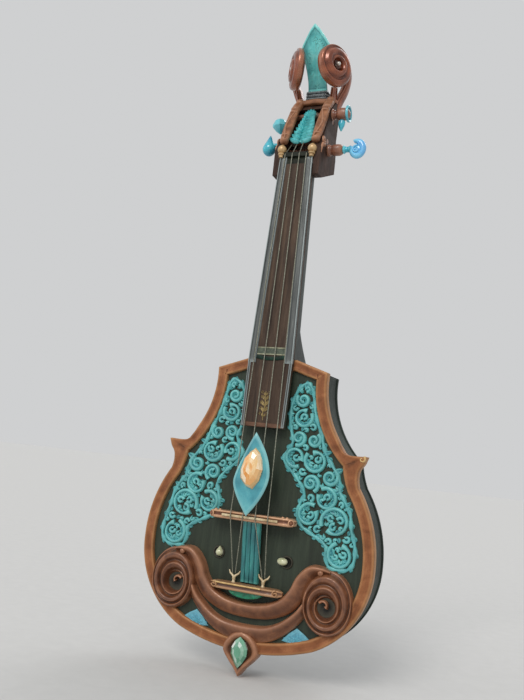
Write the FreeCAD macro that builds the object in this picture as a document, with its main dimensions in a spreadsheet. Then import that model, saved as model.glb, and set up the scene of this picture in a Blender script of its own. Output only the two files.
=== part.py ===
import FreeCAD, Part
import math
import os
from FreeCAD import Placement, Rotation, Vector

# Four-string ornamental lute. Millimetres, +Z up the neck, front towards -Y, +X to the player's
# view right. The origin is on the centre line, level with the underside of the pegbox block (where
# a wall hanger carries the instrument) and with the front of the body's rim.

SIZES = [
    # body: heights along Z run down from the origin, depths along Y run back from the rim's front
    ("body_top", -205.5), ("body_bottom", -499.5), ("joint_half", 27.0),
    ("shoulder_half", 61.5), ("shoulder_drop", 11.5),
    ("waist_half", 69.5), ("waist_level", -267.0), ("cusp_half", 96.0), ("cusp_level", -303.0),
    ("notch_half", 98.6), ("notch_level", -316.0), ("flank_half", 103.0), ("flank_level", -328.0),
    ("bout_half", 125.0), ("bout_level", -402.0), ("bout_corner_half", 119.8),
    ("bout_corner_level", -364.0), ("base_half", 112.0), ("base_level", -450.5),
    ("base_end_half", 72.0), ("base_end_level", -486.5),
    ("rim_width", 11.5), ("rim_step", 4.0), ("rim_depth", 9.0), ("rim_lip", 2.0),
    ("horn_tip_half", 109.0), ("horn_top", -296.5), ("horn_low", -309.0),
    ("board_thick", 3.0), ("body_depth", 44.0), ("back_thick", 3.0), ("rib_thick", 3.0),
    ("lining_wide", 4.0), ("lining_deep", 6.0),
    ("brace_wide", 6.0), ("brace_deep", 7.0), ("brace_long", 190.0),
    ("brace_spacing", 56.0), ("brace_low", -465.0),
    ("block_half", 26.0), ("neck_block_long", 22.0), ("tail_block_long", 18.0),
    # ornament on the soundboard
    ("filigree_thick", 2.2), ("inlay_thick", 1.8), ("volute_front", -8.0), ("volute_half", 82.4),
    ("volute_level", -440.0), ("volute_wide", 48.0), ("volute_high", 62.0), ("volute_eye", 8.0),
    ("volute_taper", 0.62),
    ("swag_front", -6.0), ("setting_front", -4.5), ("setting_tip", -522.5), ("jewel_front", -9.5),
    ("pearl_half", 37.2), ("pearl_level", -408.0), ("pearl_size", 4.2), ("cup_size", 6.5),
    ("cup_thick", 1.5),
    # plaque over the strings
    ("plaque_top", -284.0), ("plaque_low", -367.5), ("plaque_half", 19.2), ("plaque_wide_level", -331.0),
    ("plaque_front", -24.0), ("plaque_thick", 4.0), ("post_diameter", 4.6), ("crystal_front", -32.0),
    # bridge, tailpiece and string bar
    ("bridge_level", -369.0), ("bridge_half", 46.0), ("bridge_thick", 8.0), ("bridge_front", -15.4),
    ("bridge_foot", 20.0), ("bridge_arch", 7.0), ("saddle_thick", 2.4), ("saddle_deep", 1.6),
    ("saddle_half", 30.0),
    ("tail_half", 9.6), ("tail_end_level", -433.0), ("tail_thick", 4.0), ("tail_front", -9.0),
    ("bar_half", 38.5), ("bar_level", -438.0), ("bar_thick", 7.0), ("bar_front", -12.0),
    ("base_radius", 18.0), ("base_high", 6.5), ("base_front", -8.0),
    ("hook_half", 16.0), ("hook_level", -428.0),
    # neck
    ("neck_half_top", 19.5), ("neck_half_body", 24.6), ("board_half_end", 23.6),
    ("board_end_level", -278.0), ("board_top_level", 12.0),
    ("face_at_top", 4.3), ("face_slope", 0.05), ("fingerboard_thick", 5.0),
    ("rail_wide", 8.6), ("rail_over_body", 3.0), ("rail_proud", 1.2),
    ("neck_depth_top", 19.0), ("neck_depth_body", 24.0),
    ("heel_start", -174.0), ("heel_middle_depth", 34.0), ("heel_depth", 43.0),
    ("band_top", -195.0), ("band_low", -209.0), ("inlay_top", -241.0), ("inlay_low", -271.0),
    ("nut_level", 22.5), ("nut_thick", 5.0), ("nut_half", 15.5), ("seat_depth", 9.95), ("knob_half", 17.6),
    ("knob_level", 29.8), ("knob_depth", 5.5), ("knob_size", 5.2),
    # pegbox and head
    ("pegbox_half", 26.5), ("cheek_half_top", 24.3), ("taper_start", 38.0), ("taper_end", 62.0),
    ("cavity_half", 18.0), ("beam_wide", 11.2), ("beam_deep", 7.4), ("bead_size", 5.0),
    ("leaf_half", 13.0), ("leaf_thick", 3.0),
    ("shaft_radius", 3.2), ("shaft_clearance", 0.05), ("cheek_gap", 0.3), ("winding_wide", 6.0),
    ("winding_radius", 4.2),
    ("scroll_half", 24.0), ("scroll_depth", 35.0), ("scroll_level", 142.5), ("scroll_radius", 24.0),
    ("scroll_splay", 30.0), ("arm_wide", 9.0), ("arm_deep", 12.0),
    ("lance_base_level", 119.0), ("lance_base_depth", 52.0), ("lance_tip_level", 188.0),
    ("lance_tip_depth", 18.5), ("lance_half", 17.0), ("lance_thick", 5.0), ("collar_high", 7.0),
    ("collar_half", 13.0),
    # strings
    ("string_spread_nut", 8.2), ("string_spread_bridge", 13.4), ("string_radius", 0.5),
    ("string_gap", 0.05),
]

doc = FreeCAD.newDocument("lute")
sheet = doc.addObject("Spreadsheet::Sheet", "Sizes")
for row, (alias, number) in enumerate(SIZES, start=1):
    sheet.set(f"A{row}", alias)
    sheet.set(f"B{row}", str(number))
    sheet.setAlias(f"B{row}", alias)
doc.recompute()

PARTS = {}


def size(alias):
    """A driving dimension, read from the sheet."""
    return float(sheet.get(alias))


def register(label, obj):
    """Give a finished sub-part its name."""
    obj.Label = label
    PARTS[label] = obj
    return obj


def helper(kind, name, **bindings):
    """A document object whose properties are bound to expressions on the sheet."""
    obj = doc.addObject(kind, name)
    for prop, expression in bindings.items():
        obj.setExpression(prop, expression)
    return obj


def feature(label, shape):
    """A sub-part whose free-form shape is built with Part's own functions."""
    obj = doc.addObject("Part::Feature", label)
    obj.Shape = shape
    return register(label, obj)


def group(label, members):
    """Separate solids that share one sub-part."""
    obj = doc.addObject("Part::Compound", label)
    obj.Links = members
    return register(label, obj)


def box(name, corner, **bindings):
    obj = helper("Part::Box", name, **bindings)
    obj.Placement = Placement(Vector(*corner), Rotation())
    return obj


def cylinder(name, base, axis, **bindings):
    obj = helper("Part::Cylinder", name, **bindings)
    obj.Placement = Placement(Vector(*base), Rotation(Vector(0, 0, 1), Vector(*axis)))
    return obj


def sphere(name, centre, **bindings):
    obj = helper("Part::Sphere", name, **bindings)
    obj.Placement = Placement(Vector(*centre), Rotation())
    return obj


# ---------------------------------------------------------------- outlines in the sketch plane

def flat(x, z):
    return Vector(x, z, 0)


def lines(points):
    """Closed straight-sided wire through (x, z) points."""
    corners = [flat(*p) for p in points]
    return Part.makePolygon(corners + corners[:1])


def curve(points):
    """Closed smooth wire through (x, z) points."""
    spline = Part.BSplineCurve()
    spline.interpolate([flat(*p) for p in points], PeriodicFlag=True)
    return Part.Wire(spline.toShape())


def arc(start, middle, end):
    return Part.Arc(flat(*start), flat(*middle), flat(*end)).toShape()


def mirror(points):
    """The same points on the left, in the opposite order."""
    return [(-x, z) for x, z in reversed(points)]


def body_outline(inset=0.0):
    """The body's plan: straight shoulders, hollow waist, round lower bout."""
    joint = (size("joint_half"), size("body_top"))
    shoulder = (size("shoulder_half"), size("body_top") - size("shoulder_drop"))
    waist = (size("waist_half"), size("waist_level"))
    cusp = (size("cusp_half"), size("cusp_level"))
    notch = (size("notch_half"), size("notch_level"))
    flank = (size("flank_half"), size("flank_level"))
    corner = (size("bout_corner_half"), size("bout_corner_level"))
    bout = (size("bout_half"), size("bout_level"))
    base = (size("base_half"), size("base_level"))
    base_end = (size("base_end_half"), size("base_end_level"))
    bottom = (0.0, size("body_bottom"))
    right = [(shoulder, waist, cusp), (cusp, notch, flank), (flank, corner, bout),
             (bout, base, base_end)]
    edges = [Part.makeLine(flat(*joint), flat(*shoulder))]
    edges += [arc(*points) for points in right]
    edges.append(arc(base_end, bottom, (-base_end[0], base_end[1])))
    edges += [arc(*mirror(points)) for points in reversed(right)]
    edges.append(Part.makeLine(flat(-shoulder[0], shoulder[1]), flat(-joint[0], joint[1])))
    edges.append(Part.makeLine(flat(-joint[0], joint[1]), flat(*joint)))
    wire = Part.Wire(edges)
    if inset:
        wire = wire.makeOffset2D(-inset, join=2)
    return wire


def plate(wires, front, depth):
    """Solid between two depths, from an outer (x, z) wire and any inner ones."""
    face = Part.Face(wires[0])
    for inner in wires[1:]:
        face = face.cut(Part.Face(inner))
    solid = face.extrude(Vector(0, 0, -depth))
    solid.Placement = Placement(Vector(0, front, 0), Rotation(Vector(1, 0, 0), 90))
    return solid


# ---------------------------------------------------------------- PartDesign bodies

PLANE_ROLES = {"front": "XZ_Plane", "side": "YZ_Plane"}


def design_body(label):
    return register(label, doc.addObject("PartDesign::Body", label))


def sketch_on(body, plane, offset, wires):
    """A sketch on one of the body's origin planes, moved along the plane's normal."""
    sketch = body.newObject("Sketcher::SketchObject", body.Name + "_sketch")
    role = PLANE_ROLES[plane]
    origin_plane = next(f for f in body.Origin.OriginFeatures if f.Role == role)
    sketch.AttachmentSupport = [(origin_plane, "")]
    sketch.MapMode = "FlatFace"
    sketch.AttachmentOffset = Placement(Vector(0, 0, offset), Rotation())
    for wire in wires:
        for edge in wire.Edges:
            start, end = edge.FirstParameter, edge.LastParameter
            if isinstance(edge.Curve, Part.Line):
                sketch.addGeometry(Part.LineSegment(edge.valueAt(start), edge.valueAt(end)))
            elif isinstance(edge.Curve, Part.Circle) and edge.isClosed():
                sketch.addGeometry(edge.Curve)
            elif isinstance(edge.Curve, Part.Circle):
                middle = edge.valueAt((start + end) / 2)
                sketch.addGeometry(Part.Arc(edge.valueAt(start), middle, edge.valueAt(end)))
            else:
                sketch.addGeometry(edge.Curve)
    return sketch


def pad(body, sketch, expression, toward_normal=True):
    feature_pad = body.newObject("PartDesign::Pad", body.Name + "_pad")
    feature_pad.Profile = sketch
    feature_pad.setExpression("Length", expression)
    feature_pad.Reversed = not toward_normal
    body.Tip = feature_pad
    return feature_pad


def pocket(body, sketch, expression, along_normal=False):
    feature_pocket = body.newObject("PartDesign::Pocket", body.Name + "_pocket")
    feature_pocket.Profile = sketch
    feature_pocket.setExpression("Length", expression)
    feature_pocket.Reversed = along_normal
    body.Tip = feature_pocket
    return feature_pocket


def front_pad(body, wires, front, expression):
    """Pad (x, z) wires back from the plane y = front."""
    return pad(body, sketch_on(body, "front", -front, wires), expression, toward_normal=False)


def circle(x, z, radius):
    return Part.Wire(Part.makeCircle(radius, flat(x, z)))


# ---------------------------------------------------------------- body of the instrument

def make_rim():
    """Raised frame round the front, with a lip over the side and a pointed horn at each waist."""
    body = design_body("rim_frame")
    outer = body_outline()
    front_pad(body, [outer, body_outline(size("rim_width"))], 0.0, "Sizes.rim_step")
    front_pad(body, [outer, body_outline(size("rim_lip"))], size("rim_step"),
              "Sizes.rim_depth - Sizes.rim_step")
    for side in (1, -1):
        tip = size("horn_tip_half")
        horn = [(91.5, -297.0), (100.0, size("horn_top")), (tip, size("horn_top") - 0.5),
                (tip + 0.8, -302.0), (tip - 2.5, size("horn_low")), (97.6, -311.5), (95.0, -304.0)]
        front_pad(body, [lines([(side * x, z) for x, z in horn])], 0.0, "Sizes.rim_depth")


def make_plates():
    """Soundboard, ribs, back and linings, all following the same outline."""
    lip = size("rim_lip")
    soundboard = design_body("soundboard")
    front_pad(soundboard, [body_outline(lip)], size("rim_step"), "Sizes.board_thick")
    rib_front = size("rim_step") + size("board_thick")
    ribs = design_body("ribs")
    front_pad(ribs, [body_outline(lip), body_outline(lip + size("rib_thick"))], rib_front,
              "Sizes.body_depth - Sizes.back_thick - Sizes.rim_step - Sizes.board_thick")
    back = design_body("back_plate")
    front_pad(back, [body_outline(0.8)], size("body_depth") - size("back_thick"), "Sizes.back_thick")
    inner = lip + size("rib_thick")
    strips = []
    back_inside = size("body_depth") - size("back_thick")
    for front in (rib_front, back_inside - size("lining_deep")):
        wires = [body_outline(inner), body_outline(inner + size("lining_wide"))]
        strips.append(plate(wires, front, size("lining_deep")))
    blocks = Part.makeCompound([block_solid(True, 0.0), block_solid(False, 0.0)])
    feature("linings", Part.makeCompound([strip.cut(blocks) for strip in strips]))


def block_solid(at_neck, inset):
    """End block between the soundboard and the back, cut to the inside of the ribs."""
    front = size("rim_step") + size("board_thick")
    depth = size("body_depth") - size("back_thick") - front
    inside = plate([body_outline(size("rim_lip") + size("rib_thick"))], front, depth)
    half = size("block_half") - inset
    if at_neck:
        low = size("body_top") - size("neck_block_long")
        high = size("body_top")
    else:
        low = size("body_bottom")
        high = size("body_bottom") + size("tail_block_long")
    bar = Part.makeBox(2 * half, depth, high - low, Vector(-half, front, low))
    return inside.common(bar)


BACK_BRACE_LEVELS = (-260.0, -380.0, -440.0)


def make_inside():
    """Blocks and braces inside the sound box."""
    feature("neck_block", block_solid(True, 0.0))
    feature("tail_block", block_solid(False, 0.0))
    front = size("rim_step") + size("board_thick")
    half = size("brace_spacing") / 2
    low = size("brace_low")
    bars = []
    for index, x in enumerate((-half, half)):
        corner = (x - size("brace_wide") / 2, front, low)
        bars.append(box(f"top_brace_{index}", corner, Length="Sizes.brace_wide",
                        Width="Sizes.brace_deep", Height="Sizes.brace_long"))
    group("top_braces", bars)
    inside = plate([body_outline(size("rim_lip") + size("rib_thick") + size("lining_wide"))],
                   front, size("body_depth") - size("back_thick") - front)
    back = size("body_depth") - size("back_thick") - size("brace_deep")
    bars = []
    for level in BACK_BRACE_LEVELS:
        bar = Part.makeBox(300.0, size("brace_deep"), size("brace_wide"), Vector(-150.0, back, level))
        bars.append(bar.common(inside))
    feature("back_braces", Part.makeCompound(bars))


# ---------------------------------------------------------------- ornament on the soundboard

# One side's filigree: the edge nearest the rim from top to bottom, then back up the inner edge.
FILIGREE_EDGE = [
    (41.0, -229.0), (46.0, -234.0), (49.0, -244.0), (51.5, -256.0), (55.5, -269.0), (61.0, -281.0),
    (65.0, -294.0), (71.0, -305.0), (79.0, -315.0), (84.0, -325.0), (85.0, -334.0), (91.0, -343.0),
    (97.0, -354.0), (99.0, -366.0), (102.0, -376.0), (105.0, -388.0), (104.0, -400.0), (98.0, -406.5),
    (89.0, -407.5), (80.0, -406.0), (76.0, -396.0), (76.0, -388.0), (69.0, -382.0), (58.0, -376.5),
    (47.5, -370.0), (43.0, -360.0), (45.0, -349.0), (48.0, -340.0), (43.0, -330.0), (36.0, -322.0),
    (28.0, -315.0), (23.0, -306.0), (27.0, -297.0), (31.0, -289.0), (28.5, -280.0), (26.0, -270.0),
    (25.6, -258.0), (27.0, -246.0), (33.0, -234.0),
]
# Openings through the scrollwork: x, z and radius.
FILIGREE_HOLES = [
    (41.0, -242.0, 3.6), (42.5, -256.0, 4.4), (33.0, -264.0, 3.4), (47.0, -271.0, 4.0),
    (38.0, -281.0, 4.2), (54.0, -287.0, 4.4), (41.0, -296.0, 4.6), (60.0, -301.0, 4.2),
    (47.0, -309.0, 4.6), (68.0, -316.0, 4.4), (34.0, -309.0, 3.4), (57.0, -322.0, 4.6),
    (72.0, -331.0, 4.6), (56.0, -337.0, 3.6), (64.0, -348.0, 4.8), (80.0, -345.0, 4.4),
    (54.0, -359.0, 5.0), (70.0, -364.0, 4.8), (86.0, -361.0, 4.6), (88.0, -378.0, 5.0),
    (91.5, -395.0, 5.4),
]


def make_filigree():
    """Pierced scrollwork glued on each side of the soundboard."""
    thick = size("filigree_thick")
    for side, label in ((-1, "filigree_left"), (1, "filigree_right")):
        edge = curve([(side * x, z) for x, z in FILIGREE_EDGE])
        holes = [circle(side * x, z, radius) for x, z, radius in FILIGREE_HOLES]
        feature(label, plate([edge] + holes, size("rim_step") - thick, thick))


def oval(x, y, z, half_wide, half_high, sides=36):
    """Closed ring of short straight sides round an ellipse in the plane of one depth."""
    angles = [2 * math.pi * step / sides for step in range(sides)]
    ring = [Vector(x + half_wide * math.cos(a), y, z + half_high * math.sin(a)) for a in angles]
    return Part.makePolygon(ring + ring[:1])


def volute_solid(side):
    """Oval scroll boss with a deep eye, tapering towards the front."""
    front = size("volute_front")
    x = side * size("volute_half")
    z = size("volute_level")
    wide = size("volute_wide") / 2
    high = size("volute_high") / 2
    taper = size("volute_taper")
    rings = [oval(x, size("rim_step"), z, wide, high), oval(x, 0.0, z, wide, high),
             oval(x, front, z, wide * taper, high * taper)]
    eye_radius = size("volute_eye")
    eye = Part.makeLoft([oval(x, front - 1.0, z, eye_radius, eye_radius),
                         oval(x, 1.0, z, eye_radius, eye_radius)], True, True)
    return Part.makeLoft(rings, True, True).cut(eye)


def make_lower_carving():
    """Volutes, swags and inlays at the bottom of the soundboard, each fitted to its neighbour."""
    rim = PARTS["rim_frame"].Shape
    volutes = {side: volute_solid(side).cut(rim) for side in (-1, 1)}
    feature("volute_left", volutes[-1])
    feature("volute_right", volutes[1])
    taken = rim.fuse([volutes[-1], volutes[1]])
    front = size("swag_front")
    depth = size("rim_step") - front
    upper = Part.Wire([arc((-60, -425), (0, -452), (60, -425)),
                       Part.makeLine(flat(60, -425), flat(60, -446)),
                       arc((60, -446), (0, -466), (-60, -446)),
                       Part.makeLine(flat(-60, -446), flat(-60, -425))])
    lower = Part.Wire([arc((-60, -460), (0, -474.5), (60, -460)),
                       Part.makeLine(flat(60, -460), flat(52, -472)),
                       arc((52, -472), (0, -491), (-52, -472)),
                       Part.makeLine(flat(-52, -472), flat(-60, -460))])
    swag = plate([upper], front, depth).cut(taken)
    feature("upper_swag", biggest(swag))
    taken = taken.fuse(swag)
    swag = biggest(plate([lower], front + 1.5, depth - 1.5).cut(taken))
    feature("lower_swag", swag)
    taken = taken.fuse(swag)
    thick = size("inlay_thick")
    pair = []
    for side in (-1, 1):
        triangle = lines([(side * x, z) for x, z in ((36, -478), (76, -466), (60, -487), (42, -489))])
        pair.append(biggest(plate([triangle], size("rim_step") - thick, thick).cut(taken)))
    feature("corner_inlays", Part.makeCompound(pair))
    return taken


def biggest(shape):
    """The largest solid of a cut shape; the crumbs beside it aren't part of the object."""
    return max(shape.Solids, key=lambda solid: solid.Volume)


def faceted(points, centre, back, front, table, label):
    """Cut stone: straight sides from a girdle at the back to a smaller table at the front."""
    girdle = [Vector(x, back, z) for x, z in points]
    crown = [Vector(centre[0] + (x - centre[0]) * table, front, centre[1] + (z - centre[1]) * table)
             for x, z in points]
    wires = [Part.makePolygon(ring + ring[:1]) for ring in (girdle, crown)]
    feature(label, Part.makeLoft(wires, True, True))


def make_bottom_jewel(taken):
    """Pointed setting at the bottom of the rim, holding a teardrop stone."""
    front = size("setting_front")
    right = [(9.0, -481.0), (17.0, -491.0), (19.0, -500.0), (12.0, -508.0)]
    shield = [(0.0, -478.5)] + right + [(0.0, size("setting_tip"))] + mirror(right)
    solid = plate([lines(shield)], front, size("rim_depth") - front)
    solid = solid.cut(taken).cut(plate([body_outline(0.0)], size("rim_step"), 30.0))
    feature("jewel_setting", biggest(solid))
    right = [(5.0, -487.5), (8.6, -494.0), (8.0, -501.0), (4.0, -507.5)]
    drop = [(0.0, -484.0)] + right + [(0.0, -511.5)] + mirror(right)
    faceted(drop, (0.0, -498.0), front, size("jewel_front"), 0.5, "bottom_jewel")


def make_pearls():
    """A pearl in a shallow dark cup on each side of the tailpiece."""
    cups = []
    pearls = []
    surface = size("rim_step")
    for index, side in enumerate((-1, 1)):
        centre = (side * size("pearl_half"), surface, size("pearl_level"))
        outer = cylinder(f"cup_{index}", centre, (0, -1, 0), Radius="Sizes.cup_size",
                         Height="Sizes.cup_thick")
        well = cylinder(f"cup_well_{index}", centre, (0, -1, 0), Radius="Sizes.pearl_size",
                        Height="Sizes.cup_thick")
        ring = doc.addObject("Part::Cut", f"cup_ring_{index}")
        ring.Base = outer
        ring.Tool = well
        cups.append(ring)
        ball = sphere(f"pearl_{index}", centre, Radius="Sizes.pearl_size")
        ball.Angle1 = 0
        ball.Angle2 = 90
        ball.Placement = Placement(Vector(*centre), Rotation(Vector(1, 0, 0), 90))
        pearls.append(ball)
    group("pearl_cups", cups)
    group("pearls", pearls)


# ---------------------------------------------------------------- plaque, bridge and tailpiece

def make_plaque():
    """Almond plate in front of the strings, on a post between the two middle strings."""
    front = size("plaque_front")
    top = (0.0, size("plaque_top"))
    low = (0.0, size("plaque_low"))
    wide = (size("plaque_half"), size("plaque_wide_level"))
    almond = Part.Wire([arc(top, wide, low), arc(low, (-wide[0], wide[1]), top)])
    plate_solid = plate([almond], front, size("plaque_thick"))
    plate_back = front + size("plaque_thick")
    post = Part.makeCylinder(size("post_diameter") / 2, size("rim_step") - plate_back + 0.5,
                             Vector(0, plate_back - 0.5, wide[1]), Vector(0, 1, 0))
    feature("plaque", plate_solid.fuse(post).removeSplitter())
    right = [(4.5, -305.0), (10.0, -313.0), (10.8, -321.0), (7.0, -330.0)]
    left = [(-4.0, -338.5), (-9.5, -331.0), (-10.4, -322.0), (-6.5, -310.0)]
    stone = [(1.0, -300.0)] + right + [(0.0, -338.8)] + left[1:]
    faceted(stone, (0.0, -321.0), front, size("crystal_front"), 0.42, "crystal")


def string_points(index):
    """The bends of one string: hook, bridge, nut and the top of its winding."""
    place = index - 2.5
    nut_x = place * size("string_spread_nut")
    bridge_x = place * size("string_spread_bridge")
    side = 1 if place > 0 else -1
    hook_x = side * size("hook_half") + (place - side) * 3.0
    radius = size("string_radius")
    hook = Vector(hook_x, -1.5, size("hook_level") + 2.5)
    bridge = Vector(bridge_x, size("bridge_front") - size("saddle_deep") - radius, size("bridge_level"))
    nut = Vector(nut_x, nut_front() - radius - size("string_gap"), size("nut_level"))
    peg = PEGS[PEG_OF_STRING[index]]
    centre = Vector(nut_x, peg["depth"], peg["level"])
    reach = size("winding_radius") + radius + size("string_gap")
    leg = centre - nut
    tilt = math.atan2(leg.y, leg.z) - math.asin(reach / math.hypot(leg.y, leg.z))
    length = math.sqrt(leg.y ** 2 + leg.z ** 2 - reach ** 2)
    end = nut + Vector(0, math.sin(tilt) * length, math.cos(tilt) * length)
    return [hook, bridge, nut, end]


def make_bridge():
    """Deep board across the soundboard, arched underneath, with a pale saddle on its front edge."""
    front = size("bridge_front")
    surface = size("rim_step")
    half = size("bridge_half")
    foot = half - size("bridge_foot")
    arch = size("bridge_arch")
    waist = half - 6.0
    right = [(waist, front), (half, front + 7), (half, surface - 7), (waist, surface - 3),
             (waist, surface), (foot, surface), (foot - 5, surface - arch)]
    wire = Part.makePolygon([Vector(x, y, 0) for x, y in right + mirror(right) + right[:1]])
    board = Part.Face(wire).extrude(Vector(0, 0, size("bridge_thick")))
    board.translate(Vector(0, 0, size("bridge_level") - size("bridge_thick") / 2))
    feature("bridge", board)
    deep = size("saddle_deep")
    strip = box("saddle_blank", (-size("saddle_half"), front - deep,
                                 size("bridge_level") - size("saddle_thick") / 2),
                Width="Sizes.saddle_deep", Height="Sizes.saddle_thick", Length="2 * Sizes.saddle_half")
    register("bridge_saddle", strip)


def make_tailpiece():
    """Ribbed strip from the bridge down to the string bar."""
    top_z = size("bridge_level") - size("bridge_thick") / 2
    low_z = size("tail_end_level")
    thick = size("tail_thick")
    surface = size("rim_step")
    front = size("tail_front")
    side = [Vector(0, front, top_z), Vector(0, front + thick, top_z), Vector(0, surface, low_z + 14),
            Vector(0, surface, low_z), Vector(0, surface - thick, low_z)]
    half = size("tail_half")
    solid = Part.Face(Part.makePolygon(side + side[:1])).extrude(Vector(2 * half, 0, 0))
    solid.translate(Vector(-half, 0, 0))
    feature("tailpiece", solid)
    half = size("bar_half")
    front = size("bar_front")
    high = size("bar_level") + size("bar_thick") / 2
    right = [(0.0, front), (half - 9, front + 0.6), (half, front + 5), (half - 8, surface)]
    wire = Part.makePolygon([Vector(x, y, 0) for x, y in right + mirror(right)])
    bar = Part.Face(wire).extrude(Vector(0, 0, size("bar_thick")))
    bar.translate(Vector(0, 0, high - size("bar_thick")))
    feature("string_bar", bar.cut(PARTS["tailpiece"].Shape))
    base = Part.makeCylinder(size("base_radius"), surface - size("base_front"),
                             Vector(0, size("base_front"), high - size("bar_thick")), Vector(0, 1, 0))
    low = high - size("bar_thick") - size("base_high")
    below = Part.makeBox(80, 60, size("base_high"), Vector(-40, -30, low))
    taken = PARTS["upper_swag"].Shape
    feature("tail_base", biggest(base.common(below).cut(taken)))


def make_hooks():
    """Forked hooks on the string bar; two strings are tied to each."""
    pair = []
    high = size("bar_level") + size("bar_thick") / 2
    for side in (-1, 1):
        x = side * size("hook_half")
        stem = Part.makeCylinder(1.6, 5.0, Vector(x, -0.6, high), Vector(0, 0, 1))
        knot = Part.makeSphere(2.2, Vector(x, -0.6, high + 5.0))
        solid = stem.fuse(knot)
        for turn in (-1, 1):
            tip = Vector(x + turn * 4.0, -0.6, high + 9.0)
            start = Vector(x, -0.6, high + 4.0)
            prong = Part.makeCylinder(1.1, (tip - start).Length, start, tip - start)
            solid = solid.fuse(prong.fuse(Part.makeSphere(1.1, tip)))
        for index in (1, 2, 3, 4):
            solid = solid.cut(string_solid(index, size("string_gap")))
        pair.append(biggest(solid))
    feature("string_hooks", Part.makeCompound(pair))


# ---------------------------------------------------------------- neck

def face_depth(level):
    """Depth of the fingerboard's front face: the neck leans back from the body."""
    return size("face_at_top") + size("face_slope") * level


def nut_front():
    return face_depth(size("nut_level")) - 2.4


def neck_half(level):
    share = level / size("body_top")
    return size("neck_half_top") + share * (size("neck_half_body") - size("neck_half_top"))


def neck_section(level, depth, flat_share=0.45):
    """D-shaped section: flat front, sides flat for a share of the depth, round back."""
    half = neck_half(level)
    front = face_depth(level) + size("fingerboard_thick")
    flat_side = min(depth * flat_share, depth - 6.0)
    left = Vector(-half, front, level)
    right = Vector(half, front, level)
    right_low = Vector(half, front + flat_side, level)
    left_low = Vector(-half, front + flat_side, level)
    round_back = Part.Arc(right_low, Vector(0, front + depth, level), left_low).toShape()
    return Part.Wire([Part.makeLine(left, right), Part.makeLine(right, right_low), round_back,
                      Part.makeLine(left_low, left)])


def make_neck():
    """Neck, leaning back a little, with a heel that runs down the body's shoulder."""
    top = size("board_top_level") - 12.0
    body_top = size("body_top")
    start = size("heel_start")
    fingerboard_back = size("fingerboard_thick")
    shank = Part.makeLoft([neck_section(top, size("neck_depth_top") - fingerboard_back),
                           neck_section(start, size("neck_depth_body") - fingerboard_back)], True, True)
    heel_depth = size("heel_depth") - face_depth(body_top) - fingerboard_back
    middle = (start + body_top) / 2
    heel = Part.makeLoft([neck_section(start, size("neck_depth_body") - fingerboard_back),
                          neck_section(middle, size("heel_middle_depth"), 0.75),
                          neck_section(body_top, heel_depth, 0.85)], True, False)
    neck = shank.fuse(heel).removeSplitter()
    feature("neck", neck)


def tapered_slab(inner_half, outer_half, front_step, thick, levels):
    """Slab that follows the neck's lean and taper between two levels."""
    rings = []
    for level, inner, outer in zip(levels, inner_half, outer_half):
        front = face_depth(level) + front_step
        corners = [Vector(inner, front, level), Vector(outer, front, level),
                   Vector(outer, front + thick, level), Vector(inner, front + thick, level)]
        rings.append(Part.makePolygon(corners + corners[:1]))
    return Part.makeLoft(rings, True, True)


def make_fingerboard():
    """Fingerboard over the neck and on over the body, with a raised rail along each edge."""
    top = size("board_top_level")
    joint = size("body_top")
    end = size("board_end_level")
    thick = size("fingerboard_thick")
    levels = (top, joint, end)
    outer = [neck_half(top), neck_half(joint), size("board_half_end")]
    board = tapered_slab([-h for h in outer[:2]], outer[:2], 0.0, thick, levels[:2])
    over = tapered_slab([-h for h in outer[1:]], outer[1:], 0.0, thick, levels[1:])
    solid = board.fuse(over).removeSplitter()
    feature("fingerboard", solid.cut(PARTS["rim_frame"].Shape))
    rails = []
    proud = size("rail_proud")
    wide = size("rail_wide")
    for side in (-1, 1):
        halves = [side * h for h in outer[:2]]
        inner = [side * (h - wide) for h in outer[:2]]
        rails.append(tapered_slab(inner, halves, -proud, proud, levels[:2]))
        halves = [side * h for h in outer[1:]]
        inner = [side * (h - size("rail_over_body")) for h in outer[1:]]
        rails.append(tapered_slab(inner, halves, -proud * 0.6, proud * 0.6, levels[1:]))
    feature("edge_rails", Part.makeCompound(rails))
    band = []
    for level in (size("band_top"), (size("band_top") + size("band_low")) / 2, size("band_low")):
        half = neck_half(max(level, joint)) - wide - 0.2
        if level < joint:
            half = size("board_half_end") - 4.0
        band.append(tapered_slab([-half] * 2, [half] * 2, -0.7, 0.7, (level + 1.1, level - 1.1)))
    feature("cross_band", Part.makeCompound(band))


def make_fingerboard_inlay():
    """Small floral inlay near the end of the fingerboard: a stem and three pairs of leaves."""
    top = size("inlay_top")
    low = size("inlay_low")
    petals = []
    for share, reach in ((0.15, 4.5), (0.4, 6.5), (0.68, 5.5)):
        level = top + share * (low - top)
        petals.append([(0.0, level + 3.5), (reach, level + 1.2), (1.2, level - 2.5)])
    stem = [(0.0, top), (1.2, top - 4.0), (0.9, low + 3.0), (0.0, low)]
    outline = [lines(stem + [(-x, z) for x, z in reversed(stem[1:3])])]
    outline += [lines([(side * x, z) for x, z in petal]) for petal in petals for side in (-1, 1)]
    solids = [plate([wire], 0.0, 0.6) for wire in outline]
    inlay = solids[0].multiFuse(solids[1:])
    middle = (top + low) / 2
    tilt = math.degrees(math.atan(size("face_slope")))
    inlay.rotate(Vector(0, 0, middle), Vector(1, 0, 0), -tilt)
    inlay.translate(Vector(0, face_depth(middle) - 0.6, 0))
    feature("fingerboard_inlay", biggest(inlay).cut(PARTS["fingerboard"].Shape))


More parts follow.
